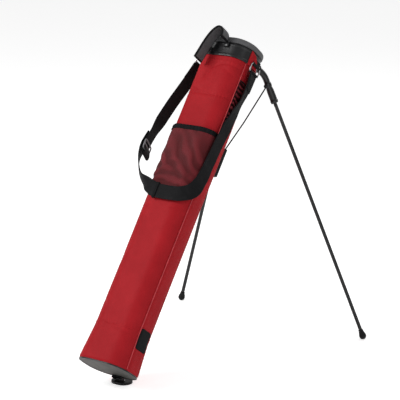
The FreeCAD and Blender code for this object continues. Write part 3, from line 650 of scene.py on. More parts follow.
def make_net_cloth():
    """Open net with the red cloth showing through its holes, painted dark as shade under the net; painted
    shade darkens the valleys of its folds.
    """
    finish = Finish("wine_net", Sheen_Weight=0.08, Specular_IOR_Level=0.2)
    thread = finish.colour(finish.patches(18.0, 0.35, 0.7), WINE, scaled_colour(WINE, 1.3))
    # WINE at 0.45 is painted shade in the fold valleys; RED_DARK at 0.42 is the cloth under the net in
    # painted shade
    return net_over(finish, 0.30, (0.25, 0.75), scaled_colour(WINE, 0.45), thread,
                    scaled_colour(RED_DARK, 0.42))


def make_ruched_net():
    """Gathered net with painted shade and light: the deep side of each ruche is painted nearly black as
    shade, its crest a lighter wine red as painted light, and the cloth in its holes nearly black as shade.
    """
    finish = Finish("ruched_net", Specular_IOR_Level=0.12)
    # WINE at 0.06 is painted shade in the ruches' valleys, WINE at 1.25 painted light on their crests,
    # RED_DARK at 0.15 the cloth in painted shade
    return net_over(finish, 0.26, (0.35, 0.85), scaled_colour(WINE, 0.06), scaled_colour(WINE, 1.25),
                    scaled_colour(RED_DARK, 0.15))


def make_webbing(name, colour, along=620.0, across=420.0, slant=0.0, sheen=0.0):
    """Woven webbing with ribs across it, painted darker as shade in the hollows between the ribs."""
    finish = Finish(name, Sheen_Weight=sheen, Specular_IOR_Level=0.12)
    ribs = finish.pattern(RIBS, Along=along, Across=across, Slant=slant)["Height"]
    rub = finish.patches(35.0, 0.45, 0.75)
    worn = scaled_colour(colour, 1.5, 0.002)
    # painted shade: the hollows between the ribs are darker
    ribbed = finish.colour(ribs, scaled_colour(colour, 0.55), colour)
    finish.fade(rub, 0.6, ribbed, worn)
    finish.rough(ribs, 0.8, 0.6)
    finish.bumps((ribs, 0.8, 0.3))
    return finish.material


def make_moulding(name, colour, on_cad=True, pebbles=1100.0, low=0.38, high=0.55, depth=0.08,
                  shine=0.28):
    """Moulded plastic or rubber: fine grain, slightly dusty patches."""
    finish = Finish(name, on_cad, Specular_IOR_Level=shine)
    grain = finish.pattern(GRAIN, Pebbles=pebbles)["Height"]
    dust = finish.patches(45.0, 0.45, 0.8)
    dusty = scaled_colour(colour, 1.4, 0.003)
    finish.fade(dust, 0.5, colour, dusty)
    finish.rough(dust, low, high)
    finish.bumps((grain, 0.5, depth))
    return finish.material


def make_grip():
    """Soft grip face, pressed with a small diamond pattern, its pressed hollows painted darker as shade."""
    finish = Finish("grip_face", Specular_IOR_Level=0.35)
    pressed = finish.pattern(WEAVE, Threads=420.0)["Height"]
    rub = finish.patches(60.0, 0.4, 0.75)
    # painted shade: the pressed hollows are darker
    face = finish.colour(pressed, scaled_colour(GREY_GRIP, 0.5), GREY_GRIP)
    finish.fade(rub, 0.5, face, scaled_colour(GREY_GRIP, 1.4))
    finish.rough(pressed, 0.75, 0.58)
    finish.bumps((pressed, 0.9, 0.4))
    return finish.material


def make_metal(name, colour, roughness, on_cad=False, scratch=900.0):
    """Plated or polished metal with fine hairlines."""
    finish = Finish(name, on_cad, Metallic=1.0)
    lines = finish.patches(scratch, 0.3, 0.8)
    stain = finish.patches(90.0, 0.5, 0.8)
    finish.fade(stain, 0.4, colour, scaled_colour(colour, 0.7))
    finish.rough(lines, roughness, roughness + 0.14)
    finish.bumps((lines, 0.15, 0.02))
    return finish.material


def make_enamel(name, colour, on_cad=False):
    """Glossy black paint on metal, with faint scuffs."""
    finish = Finish(name, on_cad, Coat_Weight=0.25, Coat_Roughness=0.12, Specular_IOR_Level=0.35)
    scuff = finish.patches(260.0, 0.55, 0.75)
    orange_peel = finish.patches(600.0, 0.2, 0.8)
    finish.fade(scuff, 0.5, colour, scaled_colour(colour, 2, 0.008))
    finish.rough(scuff, 0.24, 0.42)
    finish.bumps((orange_peel, 0.12, 0.03))
    return finish.material


red_nylon = make_fabric("red_nylon", RED, RED_DARK)
# red_cord: the piping's cord, painted lighter than the cloth as a highlight
red_binding = make_webbing("red_cord", RED_CORD_HIGHLIT, along=700.0, across=300.0, slant=1.0)
net_cloth = make_net_cloth()
ruched_net = make_ruched_net()
strap_webbing = make_webbing("black_webbing", BLACK_SOFT)
elastic = make_webbing("black_elastic", BLACK, along=900.0, across=500.0)
black_moulding = make_moulding("black_moulding", BLACK)
black_shell = make_moulding("black_moulding_new", BLACK, on_cad=False, low=0.3, high=0.45, shine=0.5)
bead_rubber = make_moulding("soft_bead", GREY_BEAD, on_cad=False, low=0.5, high=0.66)
sole_plastic = make_moulding("grey_sole", GREY_SOLE, pebbles=700.0, low=0.5, high=0.7, depth=0.15)
liner_sheet = make_moulding("liner_sheet", BLACK_SOFT, low=0.45, high=0.6)
rubber = make_moulding("black_rubber", BLACK, on_cad=False, pebbles=800.0, low=0.6, high=0.75, depth=0.12)
grip_face = make_grip()
ring_metal = make_metal("plated_wire", STEEL, 0.22)
buckle_grey = make_moulding("buckle_grey", GREY_BUCKLE, on_cad=False, low=0.3, high=0.45)
pin_metal = make_metal("pin_steel", STEEL, 0.3, on_cad=True)
leg_enamel = make_enamel("leg_enamel", BLACK)
wire_enamel = make_enamel("wire_enamel", BLACK_SOFT)
red_thread = make_webbing("red_thread", scaled_colour(RED, 1.5), along=2500.0, across=2500.0, slant=0.6)
black_thread = make_webbing("black_thread", BLACK_SOFT, along=2500.0, across=2500.0, slant=0.6)


# ---------------------------------------------------------------- the tube's fabric

def relief(run, s, front):
    """Height of the cloth above its seams, in millimetres: slow waves, puckers, hems and seam valleys."""
    height = 0.9 * cloud(run / 70, s / 190, 3.1) + 0.45 * cloud(run / 24, s / 75, 8.4)
    nearest = min(abs(run - seam) for seam in (SEAM_RUN, BACK_SEAM_RUN, -SEAM_RUN, -BACK_SEAM_RUN,
                                               AROUND - BACK_SEAM_RUN, AROUND - SEAM_RUN))
    height += 0.32 * bell(nearest - 4, 7) * math.sin(s / 1.9 + 4 * cloud(s / 40, run / 30, 1.7))
    height -= 1.1 * bell(nearest, 1.6)
    height += 0.55 * ease(s, TOP_HEM - 1, TOP_HEM + 1) + 0.55 * ease(-s, -LOW_HEM - 1, -LOW_HEM + 1)
    for hem in (TOP_HEM, LOW_HEM):
        height += 0.22 * bell(s - hem, 9) * math.sin(run / 1.7 + 3 * cloud(run / 25, s / 30, 5.2))
    if front:
        height -= 1.6 * bell(s - CROSS_SEAM, 2.0)
        height += 0.3 * bell(s - CROSS_SEAM, 8) * math.sin(run / 1.6 + 3 * cloud(run / 30, s / 20, 6.6))
        height += 1.3 * bell(run + 38 - 0.35 * (s - 745), 7) * bell(s - 752, 30)
        height += 0.9 * bell(run - 20 + 0.2 * (s - 745), 9) * bell(s - 748, 34)
        for first, last, wide, deep in FRONT_CREASES:
            height -= deep * crease(run, s, first, last, wide)
    return height


# Creases of the front panel: start and end as (run, s), then width and depth in millimetres.
FRONT_CREASES = (
    ((-8, 768), (18, 781), 2.6, 1.4), ((18, 781), (72, 780), 2.4, 1.4), ((-6, 778), (-18, 738), 5.0, 2.0),
    ((-30, 780), (-52, 752), 4.0, 1.5), ((28, 768), (56, 756), 5.0, 1.4), ((-46, 716), (-12, 704), 5.0, 1.4),
    ((10, 88), (62, 80), 2.2, 1.3), ((-20, 96), (14, 88), 2.2, 1.1), ((-60, 150), (-34, 128), 5.0, 1.3),
    ((-58, 404), (-30, 392), 5.0, 1.5), ((30, 398), (60, 408), 5.0, 1.5), ((-62, 250), (-40, 300), 7.0, 1.6),
)


def crease(run, s, start, end, wide):
    """A soft valley along a line, fading towards both ends: one on the line, nought away from it."""
    way = Vector((end[0] - start[0], end[1] - start[1]))
    spot = Vector((run - start[0], s - start[1]))
    share = spot.dot(way) / way.length_squared
    off = abs(spot.cross(way)) / way.length
    return bell(off, wide) * ease(share, -0.25, 0.25) * ease(1 - share, -0.25, 0.25)


def cloth_panel(name, start, end, front=False):
    """One fabric panel between two seams, from the base's rim to the collar."""
    runs = span(start, end, 1.9)
    levels = span(-0.6, 8.0, 0.9)[:-1] + span(8.0, FABRIC_TOP, 2.6)

    def lift(run, s):
        return relief(run, s, front) - 2.4 * ease(-s, -7.0, 0.0)

    panel = skin_sheet("tube_" + name, runs, levels, lift, lambda run, s: 0, red_nylon, 1.2)
    place_piece(panel, "bag", "red_fabric", name)


def make_panels():
    cloth_panel("front_panel", -SEAM_RUN, SEAM_RUN, front=True)
    cloth_panel("side_panel_right", SEAM_RUN, BACK_SEAM_RUN)
    cloth_panel("back_panel", BACK_SEAM_RUN, AROUND - BACK_SEAM_RUN)
    cloth_panel("side_panel_left", AROUND - BACK_SEAM_RUN, AROUND - SEAM_RUN)


def round_cord(name, path, radius, material, wobble=0.0):
    """Soft round cord along (point, normal) pairs in metres."""
    rows, lay, along = [], [], 0.0
    turns = turns_of(10)
    for i, (point, normal) in enumerate(path):
        before, after = path[max(i - 1, 0)][0], path[min(i + 1, len(path) - 1)][0]
        way = (after - before).normalized()
        along += (point - before).length
        side = normal.cross(way).normalized()
        wide = radius * (1 + wobble * cloud(along * 90, 0, 2.5))
        rows.append(hoop(point, side, normal, wide, turns))
        lay.append([Vector((t * wide * MM, along, 0)) for t in turns])
    return grid_piece(name, rows, lay, material, ring=True)


def make_piping():
    """Corded piping on the two front seams, as one piece each."""
    cords = []
    for side, word in ((1, "right"), (-1, "left")):
        run = side * SEAM_RUN
        path = [on_skin(run, s, 0.45) for s in span(2.8, FABRIC_TOP, 3)]
        cords.append(round_cord("piping_" + word, path, 1.45, red_binding, wobble=0.12))
    place_piece(cords[0], "bag", "red_piping", "seam_piping")
    place_piece(cords[1], "bag", "red_piping")


def seam_stitches():
    """Thread along the hems, the cross seam and beside each long seam."""
    for word, s in (("top_hem", TOP_HEM + 2.5), ("low_hem", LOW_HEM - 2.5)):
        path = [on_skin(run, s, 0.62 + relief(run, s, False) * 0.6) for run in span(0, AROUND, 2)]
        sew("stitches_" + word, path, 3.4, 2.6, 0.28, red_thread, "red_piping")
    for index, offset in enumerate((-3.0, 3.0)):
        s = CROSS_SEAM + offset
        path = [on_skin(run, s, relief(run, s, True) + 0.05) for run in span(-72, 72, 2)]
        sew(f"stitches_cross_{index}", path, 3.4, 2.6, 0.26, red_thread, "red_piping")
    for word, run in (("fr", SEAM_RUN + 4.2), ("fl", -SEAM_RUN - 4.2),
                      ("br", BACK_SEAM_RUN + 3.2), ("bl", -BACK_SEAM_RUN - 3.2)):
        path = [on_skin(run, s, relief(run, s, False) + 0.05) for s in span(4, TOP_HEM - 3, 3)]
        sew("stitches_seam_" + word, path, 3.6, 2.7, 0.26, red_thread, "red_piping")


PEAK_FRONT = SEAM_RUN + 0.6
PEAK_LOW = 799.0
PEAK_RISE = 37.0
PEAK_OVER_TAB = 3.6


def peak_width(up):
    """Width of a peak at a share of its height."""
    return 41.0 * (1 - up) ** 0.75 + 2.4


def make_peak(side, word):
    """Pointed end of a side panel, sewn on to the collar."""
    rows, lay = [], []
    shares = span(0, 1, 0.03) if side > 0 else span(1, 0, 0.03)
    for up in span(0, 1, 0.05):
        row, spots = [], []
        for share in shares:
            rim = 1 - bell(min(share, 1 - share), 0.06)
            run = PEAK_FRONT + share * peak_width(up)
            lift = 4.5 + 0.9 * rim * ease(1.02 - up, 0.0, 0.1) + 0.15 * cloud(share * 6, up * 3, 4.0)
            lift += PEAK_OVER_TAB * ease(run, 84.0, 91.0) * ease(up, 0.2, 0.45)
            row.append(skin(side * run, PEAK_LOW + PEAK_RISE * up, lift))
            spots.append(Vector((run, PEAK_RISE * up, 0)) * MM)
        rows.append(row)
        lay.append(spots)
    peak = thicken(grid_piece("seam_peak_" + word, rows, lay, red_nylon), 1.0)
    place_piece(peak, "bag", "red_fabric", "peak_" + word)
    line = []
    for up in span(0.04, 0.9, 0.05):
        line.append((up, 2.6))
    for up in span(0.9, 0.04, 0.05):
        line.append((up, max(peak_width(up) - 2.8, 2.6)))
    path = []
    for up, across in line:
        run = side * (PEAK_FRONT + across)
        over = PEAK_OVER_TAB * ease(abs(run), 84.0, 91.0) * ease(up, 0.2, 0.45)
        path.append(on_skin(run, PEAK_LOW + PEAK_RISE * up, 5.5 + over))
    sew("stitches_peak_" + word, path, 3.0, 2.3, 0.25, red_thread, "red_piping")


# ---------------------------------------------------------------- mouth: collar and bead

def oval_ring(name, profile, material, slot, *nodes, ribs=None):
    """A moulded ring round the tube. profile is a closed loop of (growth, height) pairs."""
    runs = span(0, AROUND, 1.2)[:-1]
    rows = []
    for run in runs:
        row = []
        for grow, s in profile:
            bulge = ribs(run, grow, s) if ribs else 0.0
            x, n, _, _ = oval(run, grow + bulge)
            row.append(bag(x, n, s))
        rows.append(row)
    lay = [[Vector((run, s, grow)) * MM for grow, s in profile] for run in runs]
    return place_piece(grid_piece(name, rows, lay, material, ring=True, loop=True), "bag", slot, *nodes)


def rounded_loop(corners, radius):
    """A closed profile with its corners rounded, as (growth, height) pairs."""
    points = rounded_path([Vector((grow, s, 0)) for grow, s in corners], radius, True)
    return [(point.x, point.y) for point in points]


def bead_ribs(run, grow, s):
    """Fine upright ribs on the bead's outer face."""
    outer = ease(grow, 3.0, 6.0) * ease(849.5 - s, 0.0, 3.0) * ease(s - 838.5, 0.0, 1.5)
    return -0.35 * outer * (0.5 + 0.5 * math.cos(2 * math.pi * run / (AROUND / 130)))


def make_mouth():
    band_profile = rounded_loop(
        [(3.4, 800.4), (4.1, 801.4), (4.1, 806.4), (3.0, 807.4), (3.0, 829.6), (4.1, 830.6), (4.1, 834.6),
         (2.2, 835.4), (2.2, 837.4), (-5.2, 837.4), (-5.2, 774.0), (-3.2, 774.0), (-3.2, 800.4)], 0.7)
    oval_ring("collar_band", band_profile, black_shell, "black_moulding", "collar")
    bead_profile = rounded_loop(
        [(4.6, 837.2), (6.6, 838.2), (7.0, 842.0), (6.9, 847.0), (5.0, 850.6), (0.6, 851.4), (-3.8, 850.0),
         (-5.2, 846.0), (-5.2, 837.2)], 1.7)
    oval_ring("mouth_bead", bead_profile, bead_rubber, "rim_bead", "rim_bead", ribs=bead_ribs)


def make_base():
    """Thin black rim just inside the fabric's lower edge."""
    rim_profile = rounded_loop(
        [(5.8, -2.0), (6.0, -1.0), (5.6, 0.8), (3.2, 0.8), (3.0, -1.0), (3.0, -2.3), (5.2, -2.5)], 0.5)
    oval_ring("sole_rim", rim_profile, black_shell, "black_moulding", "base_rim")


# ---------------------------------------------------------------- pockets

def pocket_fold(run, s, low):
    """Slack folds of the front pocket, between about minus one and one: bows low down, slants higher up."""
    bow = s - low + 0.0035 * run * run
    slant = 0.75 * run + 0.66 * s
    folds = 0.75 * math.sin(bow / 3.9 + 2.6 * cloud(run / 40, s / 60, 2.2)) * bell(bow - 24, 46)
    folds += 0.65 * math.sin(slant / 4.8 + 2.9 * cloud(run / 34, s / 46, 6.1)) * bell(bow - 84, 62)
    return folds + 0.5 * cloud(run / 26, s / 55, 9.3)


def pocket_lift(run, s, half, low, high):
    """Height of a sewn-on pocket above the tube: flat at its seams, slack in the middle."""
    sides = ease(half - abs(run), 0.0, 11.0)
    foot = ease(s - low, 0.0, 16.0)
    slack = 0.7 + 0.3 * ease(s - low, 0.0, 90.0)
    lift = 0.9 + 3.7 * sides * foot * slack + 2.0 * sides * foot * pocket_fold(run, s, low)
    lift += 0.35 * math.sin(run / 1.5 + 2 * cloud(s / 30, run / 40, 7.7)) * bell(high - s, 13) * sides
    return max(lift, 0.8)


def make_front_pocket():
    """Net pocket across the front, and its gathered elastic edge."""
    half = SEAM_RUN - 1.8
    runs = span(-half, half, 1.7)
    levels = span(POCKET_LOW, POCKET_TOP, 2.2)

    def lift(run, s):
        return pocket_lift(run, s, half, POCKET_LOW, POCKET_TOP)

    # fold height, which the net's material turns into painted shade in the valleys
    def crest(run, s):
        return 0.5 + 0.5 * pocket_fold(run, s, POCKET_LOW)

    pocket = skin_sheet("front_pocket", runs, levels, lift, crest, net_cloth, 0.7)
    place_piece(pocket, "bag", "mesh", "mesh_pocket")
    run_of_points = []
    for run in span(-half, half, 0.8):
        x, n, out_x, out_n = oval(run, lift(run, POCKET_TOP) + 0.55)
        spot, way, normal = (x, n, POCKET_TOP - 1), (-out_n, out_x, 0), (out_x, out_n, 0)
        run_of_points.append((Vector(spot), Vector(way), Vector(normal)))

    def gathers(along, across):
        return 0.3 * math.sin(along / 0.62) * (1 - bell(across, 1.2)) - 0.25 * bell(across, 0.8)

    webbing("pocket_elastic", run_of_points, 12.0, 1.5, "pocket_binding", relief=gathers, cloth=elastic)
    for index, across in enumerate((-3.4, 3.4)):
        path = []
        for point, _, normal in run_of_points[::3]:
            spot = point + normal * 1.15 + Vector((0, 0, across))
            path.append((bag(*spot), bag_way(*normal)))
        sew(f"stitches_binding_{index}", path, 2.8, 2.1, 0.22, black_thread, "black_webbing")
    path = [on_skin(run, POCKET_LOW + 2.4, 1.5) for run in span(-half + 3, half - 3, 2)]
    sew("stitches_pocket_foot", path, 3.0, 2.3, 0.25, black_thread, "mesh")


def make_side_pocket():
    """Gathered net pocket on the right side, drawn into deep ruches, with a corded edge."""
    middle, half, low, high = 89.0, 11.6, 613.0, 754.0
    runs = span(-half, half, 0.9)
    levels = span(low, high, 1.5)

    def ruche(run, s):
        return math.sin(2 * math.pi * (s + 0.25 * run) / 12.5 + 2.6 * cloud(run / 14, s / 21, 3.9))

    def lift(run, s):
        sides = ease(half - abs(run), 0.0, 4.0)
        ends = ease(s - low, 0.0, 12.0) * ease(high - s, 0.0, 8.0)
        return 1.0 + sides * ends * (1.9 + 1.7 * ruche(run, s))

    # ruche height, which the net's material turns into painted shade in the valleys and painted light on the
    # crests
    def crest(run, s):
        return 0.5 + 0.5 * ruche(run, s)

    pocket = skin_sheet("gathered_pocket", runs, levels, lift, crest, ruched_net, 0.7, middle)
    place_piece(pocket, "bag", "mesh", "side_pocket")
    for word, run in (("front", -half), ("back", half)):
        path = [on_skin(middle + run, s, 1.1) for s in span(low, high, 2)]
        cord = round_cord("pocket_cord_" + word, path, 1.05, elastic, wobble=0.2)
        place_piece(cord, "bag", "black_webbing")
    path = [on_skin(middle + run, high, 1.5 + 2.2 * bell(run, 11)) for run in span(-half, half, 1.5)]
    cord = round_cord("pocket_cord_mouth", path, 1.5, elastic, wobble=0.25)
    place_piece(cord, "bag", "black_webbing")


def make_leg_patch():
    """Soft patch with rounded corners that keeps the folded leg, sewn round its edge."""
    middle, half, low, high, corner = 98.0, 20.5, 55.5, 106.5, 6.0
    rows, lay = [], []
    for share in span(0, 1, 0.03):
        s = low + (high - low) * share
        inset = min(s - low, high - s)
        trim = corner - math.sqrt(max(corner ** 2 - (corner - inset) ** 2, 0.0)) if inset < corner else 0.0
        row, spots = [], []
        for across in span(-1, 1, 0.05):
            run = across * (half - trim)
            rim = ease(min(half - trim - abs(run), inset), 0.0, 1.4)
            lift = 0.5 + 1.3 * rim + 0.12 * cloud(run / 6, s / 6, 1.1)
            row.append(skin(middle + run, s, lift))
            spots.append(Vector((run, s, 0)) * MM)
        rows.append(row)
        lay.append(spots)
    patch = thicken(grid_piece("leg_patch", rows, lay, strap_webbing), 1.0)
    place_piece(patch, "bag", "black_webbing", "leg_keeper")
    ring = rounded_path([Vector((across * (half - 3), s, 0)) for across, s in
                         ((-1, low + 3), (1, low + 3), (1, high - 3), (-1, high - 3))], 4.0, True)
    path = [on_skin(middle + p.x, p.y, 1.95) for p in dense(ring + ring[:1], 1.5)]
    sew("stitches_patch", path, 3.0, 2.3, 0.25, black_thread, "black_webbing")


def dense(points, step):
    """The same path with points no further apart than step."""
    result = []
    for a, b in zip(points, points[1:]):
        count = max(1, round((b - a).length / step))
        result.extend(a.lerp(b, k / count) for k in range(count))
    return result + [points[-1]]


# ---------------------------------------------------------------- shoulder strap, rings and buckle

RING_STAND = 9.6
RING_LEVEL = 808.0
RING_HEIGHT = 20.0
RING_WIDTH = 40.0
RING_DEPTH = 6.0
RING_TILT = math.radians(24.0)
RING_WIRE = 1.6
TAB_WIDTH = 31.0
KEEPER_WIDTH = 7.5
KEEPER_SQUARENESS = 0.28
STRAP_LIFT = 7.9
STRAP_LINE = 14.8


def webbing(name, run, width, thickness, *nodes, relief=None, cloth=strap_webbing):
    """A length of webbing or elastic on the bag."""
    strip = band(name, run, width, thickness, cloth, relief)
    return place_piece(strip, "bag", "black_webbing", *nodes)


def ring_top(side):
    depth = RING_DEPTH if side > 0 else -RING_DEPTH / 3
    return Vector((side * (HALF_WIDTH + RING_STAND), depth, RING_LEVEL))


def ring_bar(side):
    """Middle of a ring's lower bar, along the bag's axes."""
    tilt = 0.0 if side > 0 else RING_TILT
    return ring_top(side) + Vector((-math.sin(tilt), 0, -math.cos(tilt))) * RING_HEIGHT


def make_ring(side, word):
    """Bent wire ring and the webbing tab that holds it."""
    top, low = ring_top(side), ring_bar(side)
    half = Vector((0, RING_WIDTH / 2, 0))
    corners = [bag(*p) for p in (top - half, top + half, low + half, low - half)]
    ring = bent_wire("wire_ring_" + word, corners, RING_WIRE, ring_metal, closed=True, corner=0.005)
    place_piece(ring, "bag", "ring_steel", "ring_" + word)
    inner_x = side * (HALF_WIDTH + 4.2)
    outward = Vector((side, 0, 0))
    loop = [Vector((inner_x, top.y, RING_LEVEL + 15)), Vector((inner_x, top.y, RING_LEVEL + 8)),
            Vector((inner_x + side * 1.2, top.y, RING_LEVEL - 0.5))]
    for turn in (200, 235, 270, 305, 340, 20, 60, 100):
        angle = math.radians(turn)
        loop.append(top + Vector((side * math.cos(angle), 0, math.sin(angle))) * 3.0)
    loop.append(Vector((inner_x + side * 2.9, top.y, RING_LEVEL + 8)))
    loop.append(Vector((inner_x + side * 2.3, top.y, RING_LEVEL + 15.5)))
    run = smooth_run(loop, facings(loop, Vector((0, -1, 0))), 1.0)
    webbing("ring_tab_" + word + "_webbing", run, TAB_WIDTH, 1.5, "ring_tab_" + word)
    face = inner_x + side * 3.3
    box_path = [bag(face, top.y + y, RING_LEVEL + z) for y, z in
                ((-12, 8.5), (12, 8.5), (12, 14), (-12, 14), (-12, 8.5))]
    path = [(p, bag_way(*outward)) for p in dense(box_path, 0.001)]
    sew("stitches_tab_" + word, path, 2.6, 2.0, 0.24, black_thread, "black_webbing")


# Where the long strap lies around the bag: run, level and, where it stands off the curve, its facing.
STRAP_AROUND = (
    (107, 752, (0.95, 0.31)), (102, 708, (0.90, 0.44)), (94, 668, (0.98, 0.20)), (86, 626, (1.0, 0.0)),
    (81, 580, (1.0, 0.0)), (78, 530, (1.0, -0.05)), (75, 488, (0.98, -0.18)), (66, 453, None),
    (46, 434, None), (24, 429, None), (2, 429, None), (-20, 430, None),
)
# Where it swings free of the bag on the left: x, n, level and facing.
STRAP_FREE = (
    (-44, -58, 438, (-0.22, -0.88, -0.36)), (-75, -54, 455, (-0.54, -0.42, -0.58)),
    (-102, -46, 483, (-0.75, -0.46, -0.43)), (-122, -38, 516, (-0.92, -0.38, 0.0)),
    (-125, -33, 550, (-0.98, -0.18, 0.0)), (-122, -29, 580, (-0.98, -0.18, 0.0)),
)


# The short length from the buckle up to the left ring: x, n, level and facing.
FACING_NEAR, FACING_FAR = (-0.98, -0.18, 0.0), (-0.99, 0.12, 0.0)
STRAP_UPPER = (
    (-114.5, -35, 530, FACING_NEAR), (-118, -31, 556, FACING_NEAR), (-116, -28, 584, FACING_NEAR),
    (-110.5, -24, 625, FACING_FAR), (-103, -18, 675, FACING_FAR), (-93.5, -12, 722, FACING_FAR),
    (-88, -6, 758, FACING_FAR),
)


def strap_points():
    """The long strap's middle line from the right ring, round the bag and out to the buckle."""
    points, normals = [ring_bar(1) + Vector((0, 0, -1.5))], [Vector((0.98, 0.2, 0))]
    for run, level, facing in STRAP_AROUND:
        x, n, out_x, out_n = oval(run, STRAP_LIFT)
        points.append(Vector((x, n, level)))
        normals.append(Vector((*(facing or (out_x, out_n)), 0)))
    for x, n, level, normal in STRAP_FREE:
        points.append(Vector((x, n, level)))
        normals.append(Vector(normal))
    return points, normals


def ring_wrap(bar, outward):
    """Webbing folded round a ring's lower bar, in at the back and out at the front."""
    points, normals = [], []
    for turn in span(-60, 240, 30):
        angle = math.radians(turn)
        way = outward * math.cos(angle) + Vector((0, 0, math.sin(angle)))
        points.append(bar + way * (RING_WIRE + STRAP_THICKNESS / 2 + 0.15))
        normals.append(way)
    return smooth_run(points, normals, 1.2)


def cloth_lines(along, across):
    """Two raised lines near a strap's edges and a little unevenness."""
    edge = bell(abs(across) - STRAP_LINE, 1.3)
    return 0.22 * edge + 0.18 * cloud(along / 9, across / 7, 4.4)


def sewn_box(name, centre, way, side, normal, long, wide):
    """Stitched rectangle with a cross in it."""
    corners = [centre + way * a * long / 2 + side * b * wide / 2 for a, b in
               ((-1, -1), (1, -1), (1, 1), (-1, 1), (-1, -1), (1, 1), (1, -1), (-1, 1))]
    path = [(bag(*p), bag_way(*normal)) for p in dense(corners, 1.2)]
    return sew(name, path, 2.5, 1.9, 0.24, black_thread, "black_webbing")


def strap_end(side, word, sewn_run, box_at):
    """Where a strap turns round its ring and is sewn back on itself."""
    around = ring_wrap(ring_bar(side), Vector((side, 0, 0)))
    webbing("strap_fold_" + word, around, STRAP_WIDTH - 1, 1.8)
    doubled = [(p + n * 2.1, w, n) for p, w, n in sewn_run]
    webbing("strap_end_" + word, doubled, STRAP_WIDTH - 1.5, 2.0, relief=cloth_lines)
    point, way, normal = doubled[box_at]
    sewn_box("stitches_end_" + word, point + normal * 1.35, way, normal.cross(way), normal, 22, 27)


def make_strap():
    """Shoulder strap: the long length, the short length and their folded ends."""
    points, normals = strap_points()
    run = smooth_run(points, normals, 3.0)
    webbing("strap_long_webbing", run, STRAP_WIDTH, STRAP_THICKNESS, "strap_long", relief=cloth_lines)
    strap_end(1, "right", run[1:16], 9)
    points = [Vector(p[:3]) for p in STRAP_UPPER] + [ring_bar(-1) + Vector((-0.6, 0, -1.5))]
    normals = [Vector(p[3]) for p in STRAP_UPPER] + [Vector(FACING_FAR)]
    run = smooth_run(points, normals, 3.0)
    webbing("strap_short_webbing", run, STRAP_WIDTH, STRAP_THICKNESS, "strap_short", relief=cloth_lines)
    strap_end(-1, "left", run[-17:-1], 6)


def make_buckle():
    """Slide buckle on the short strap's end: an outer frame, a middle bar and the strap's fold below."""
    out = Vector((-0.98, -0.18, 0))
    up = Vector((-0.132, 0.15, 0.98)).normalized()
    wide = out.cross(up).normalized()
    seat = Vector((-116.6, -33, 543)) - out * 3.1
    corners = []
    for a, b in ((-1, -1), (1, -1), (1, 1), (-1, 1)):
        corners.append(bag(*(seat + wide * a * 21.2 + up * b * 11.4)))
    loop = bent_wire("buckle_frame", corners, 1.75, buckle_grey, closed=True, corner=0.005)
    bar = bent_wire("buckle_bar", [bag(*(seat + wide * a * 21)) for a in (-1, 0, 1)], 1.5, buckle_grey)
    place_piece(loop, "bag", "buckle", "strap_buckle")
    place_piece(bar, "bag", "buckle")
    fold = ((-3, 1.2), (-7, 3.4), (-13, 5.2), (-19, 6.2),
            (-24.5, 5.4), (-26.5, 2.6), (-25.0, 0.0), (-20, -1.2))
    points = [seat + up * level - out * lift for level, lift in fold]
    run = smooth_run(points, facings(points, wide), 1.2)
    webbing("strap_fold_buckle", run, STRAP_WIDTH - 1, 1.9, relief=cloth_lines)


def make_keeper():
    """Narrow webbing loop that holds the strap on the front."""
    x, n, _, _ = oval(-20, STRAP_LIFT)
    centre = Vector((x, n - 0.1, 430))
    half_up, half_out = STRAP_WIDTH / 2 + 1.9, STRAP_THICKNESS / 2 + 1.6
    loop, normals = [], []
    for k in range(33):
        angle = 2 * math.pi * k / 32
        c, d = math.cos(angle), math.sin(angle)
        loop.append(centre + Vector((0, half_out * math.copysign(abs(c) ** KEEPER_SQUARENESS, c),
                                     half_up * math.copysign(abs(d) ** KEEPER_SQUARENESS, d))))
        normals.append(Vector((0, c / half_out, d / half_up)).normalized())
    run = smooth_run(loop, normals, 1.5)
    webbing("strap_keeper_webbing", run, KEEPER_WIDTH, 1.2, "strap_keeper", cloth=elastic)


# ---------------------------------------------------------------- carrying handle

GRIP_STAND = 75.0
GRIP_WIDTH = 35.0
GRIP_PATH = (
    (-37, 771), (-33, 790), (-29, 809), (-23, 830), (-15, 847), (-5, 857), (4, 857), (11, 851), (14, 843),
    (15, 833),
)
GRIP_ANCHORS = ((-29, 811), (14, 829))
ANCHOR_PROFILE = ((-58.4, 0.85), (-57.8, 0.95), (-56.8, 1.0), (-53.0, 1.02), (-51.6, 1.08), (-51.2, 1.08))


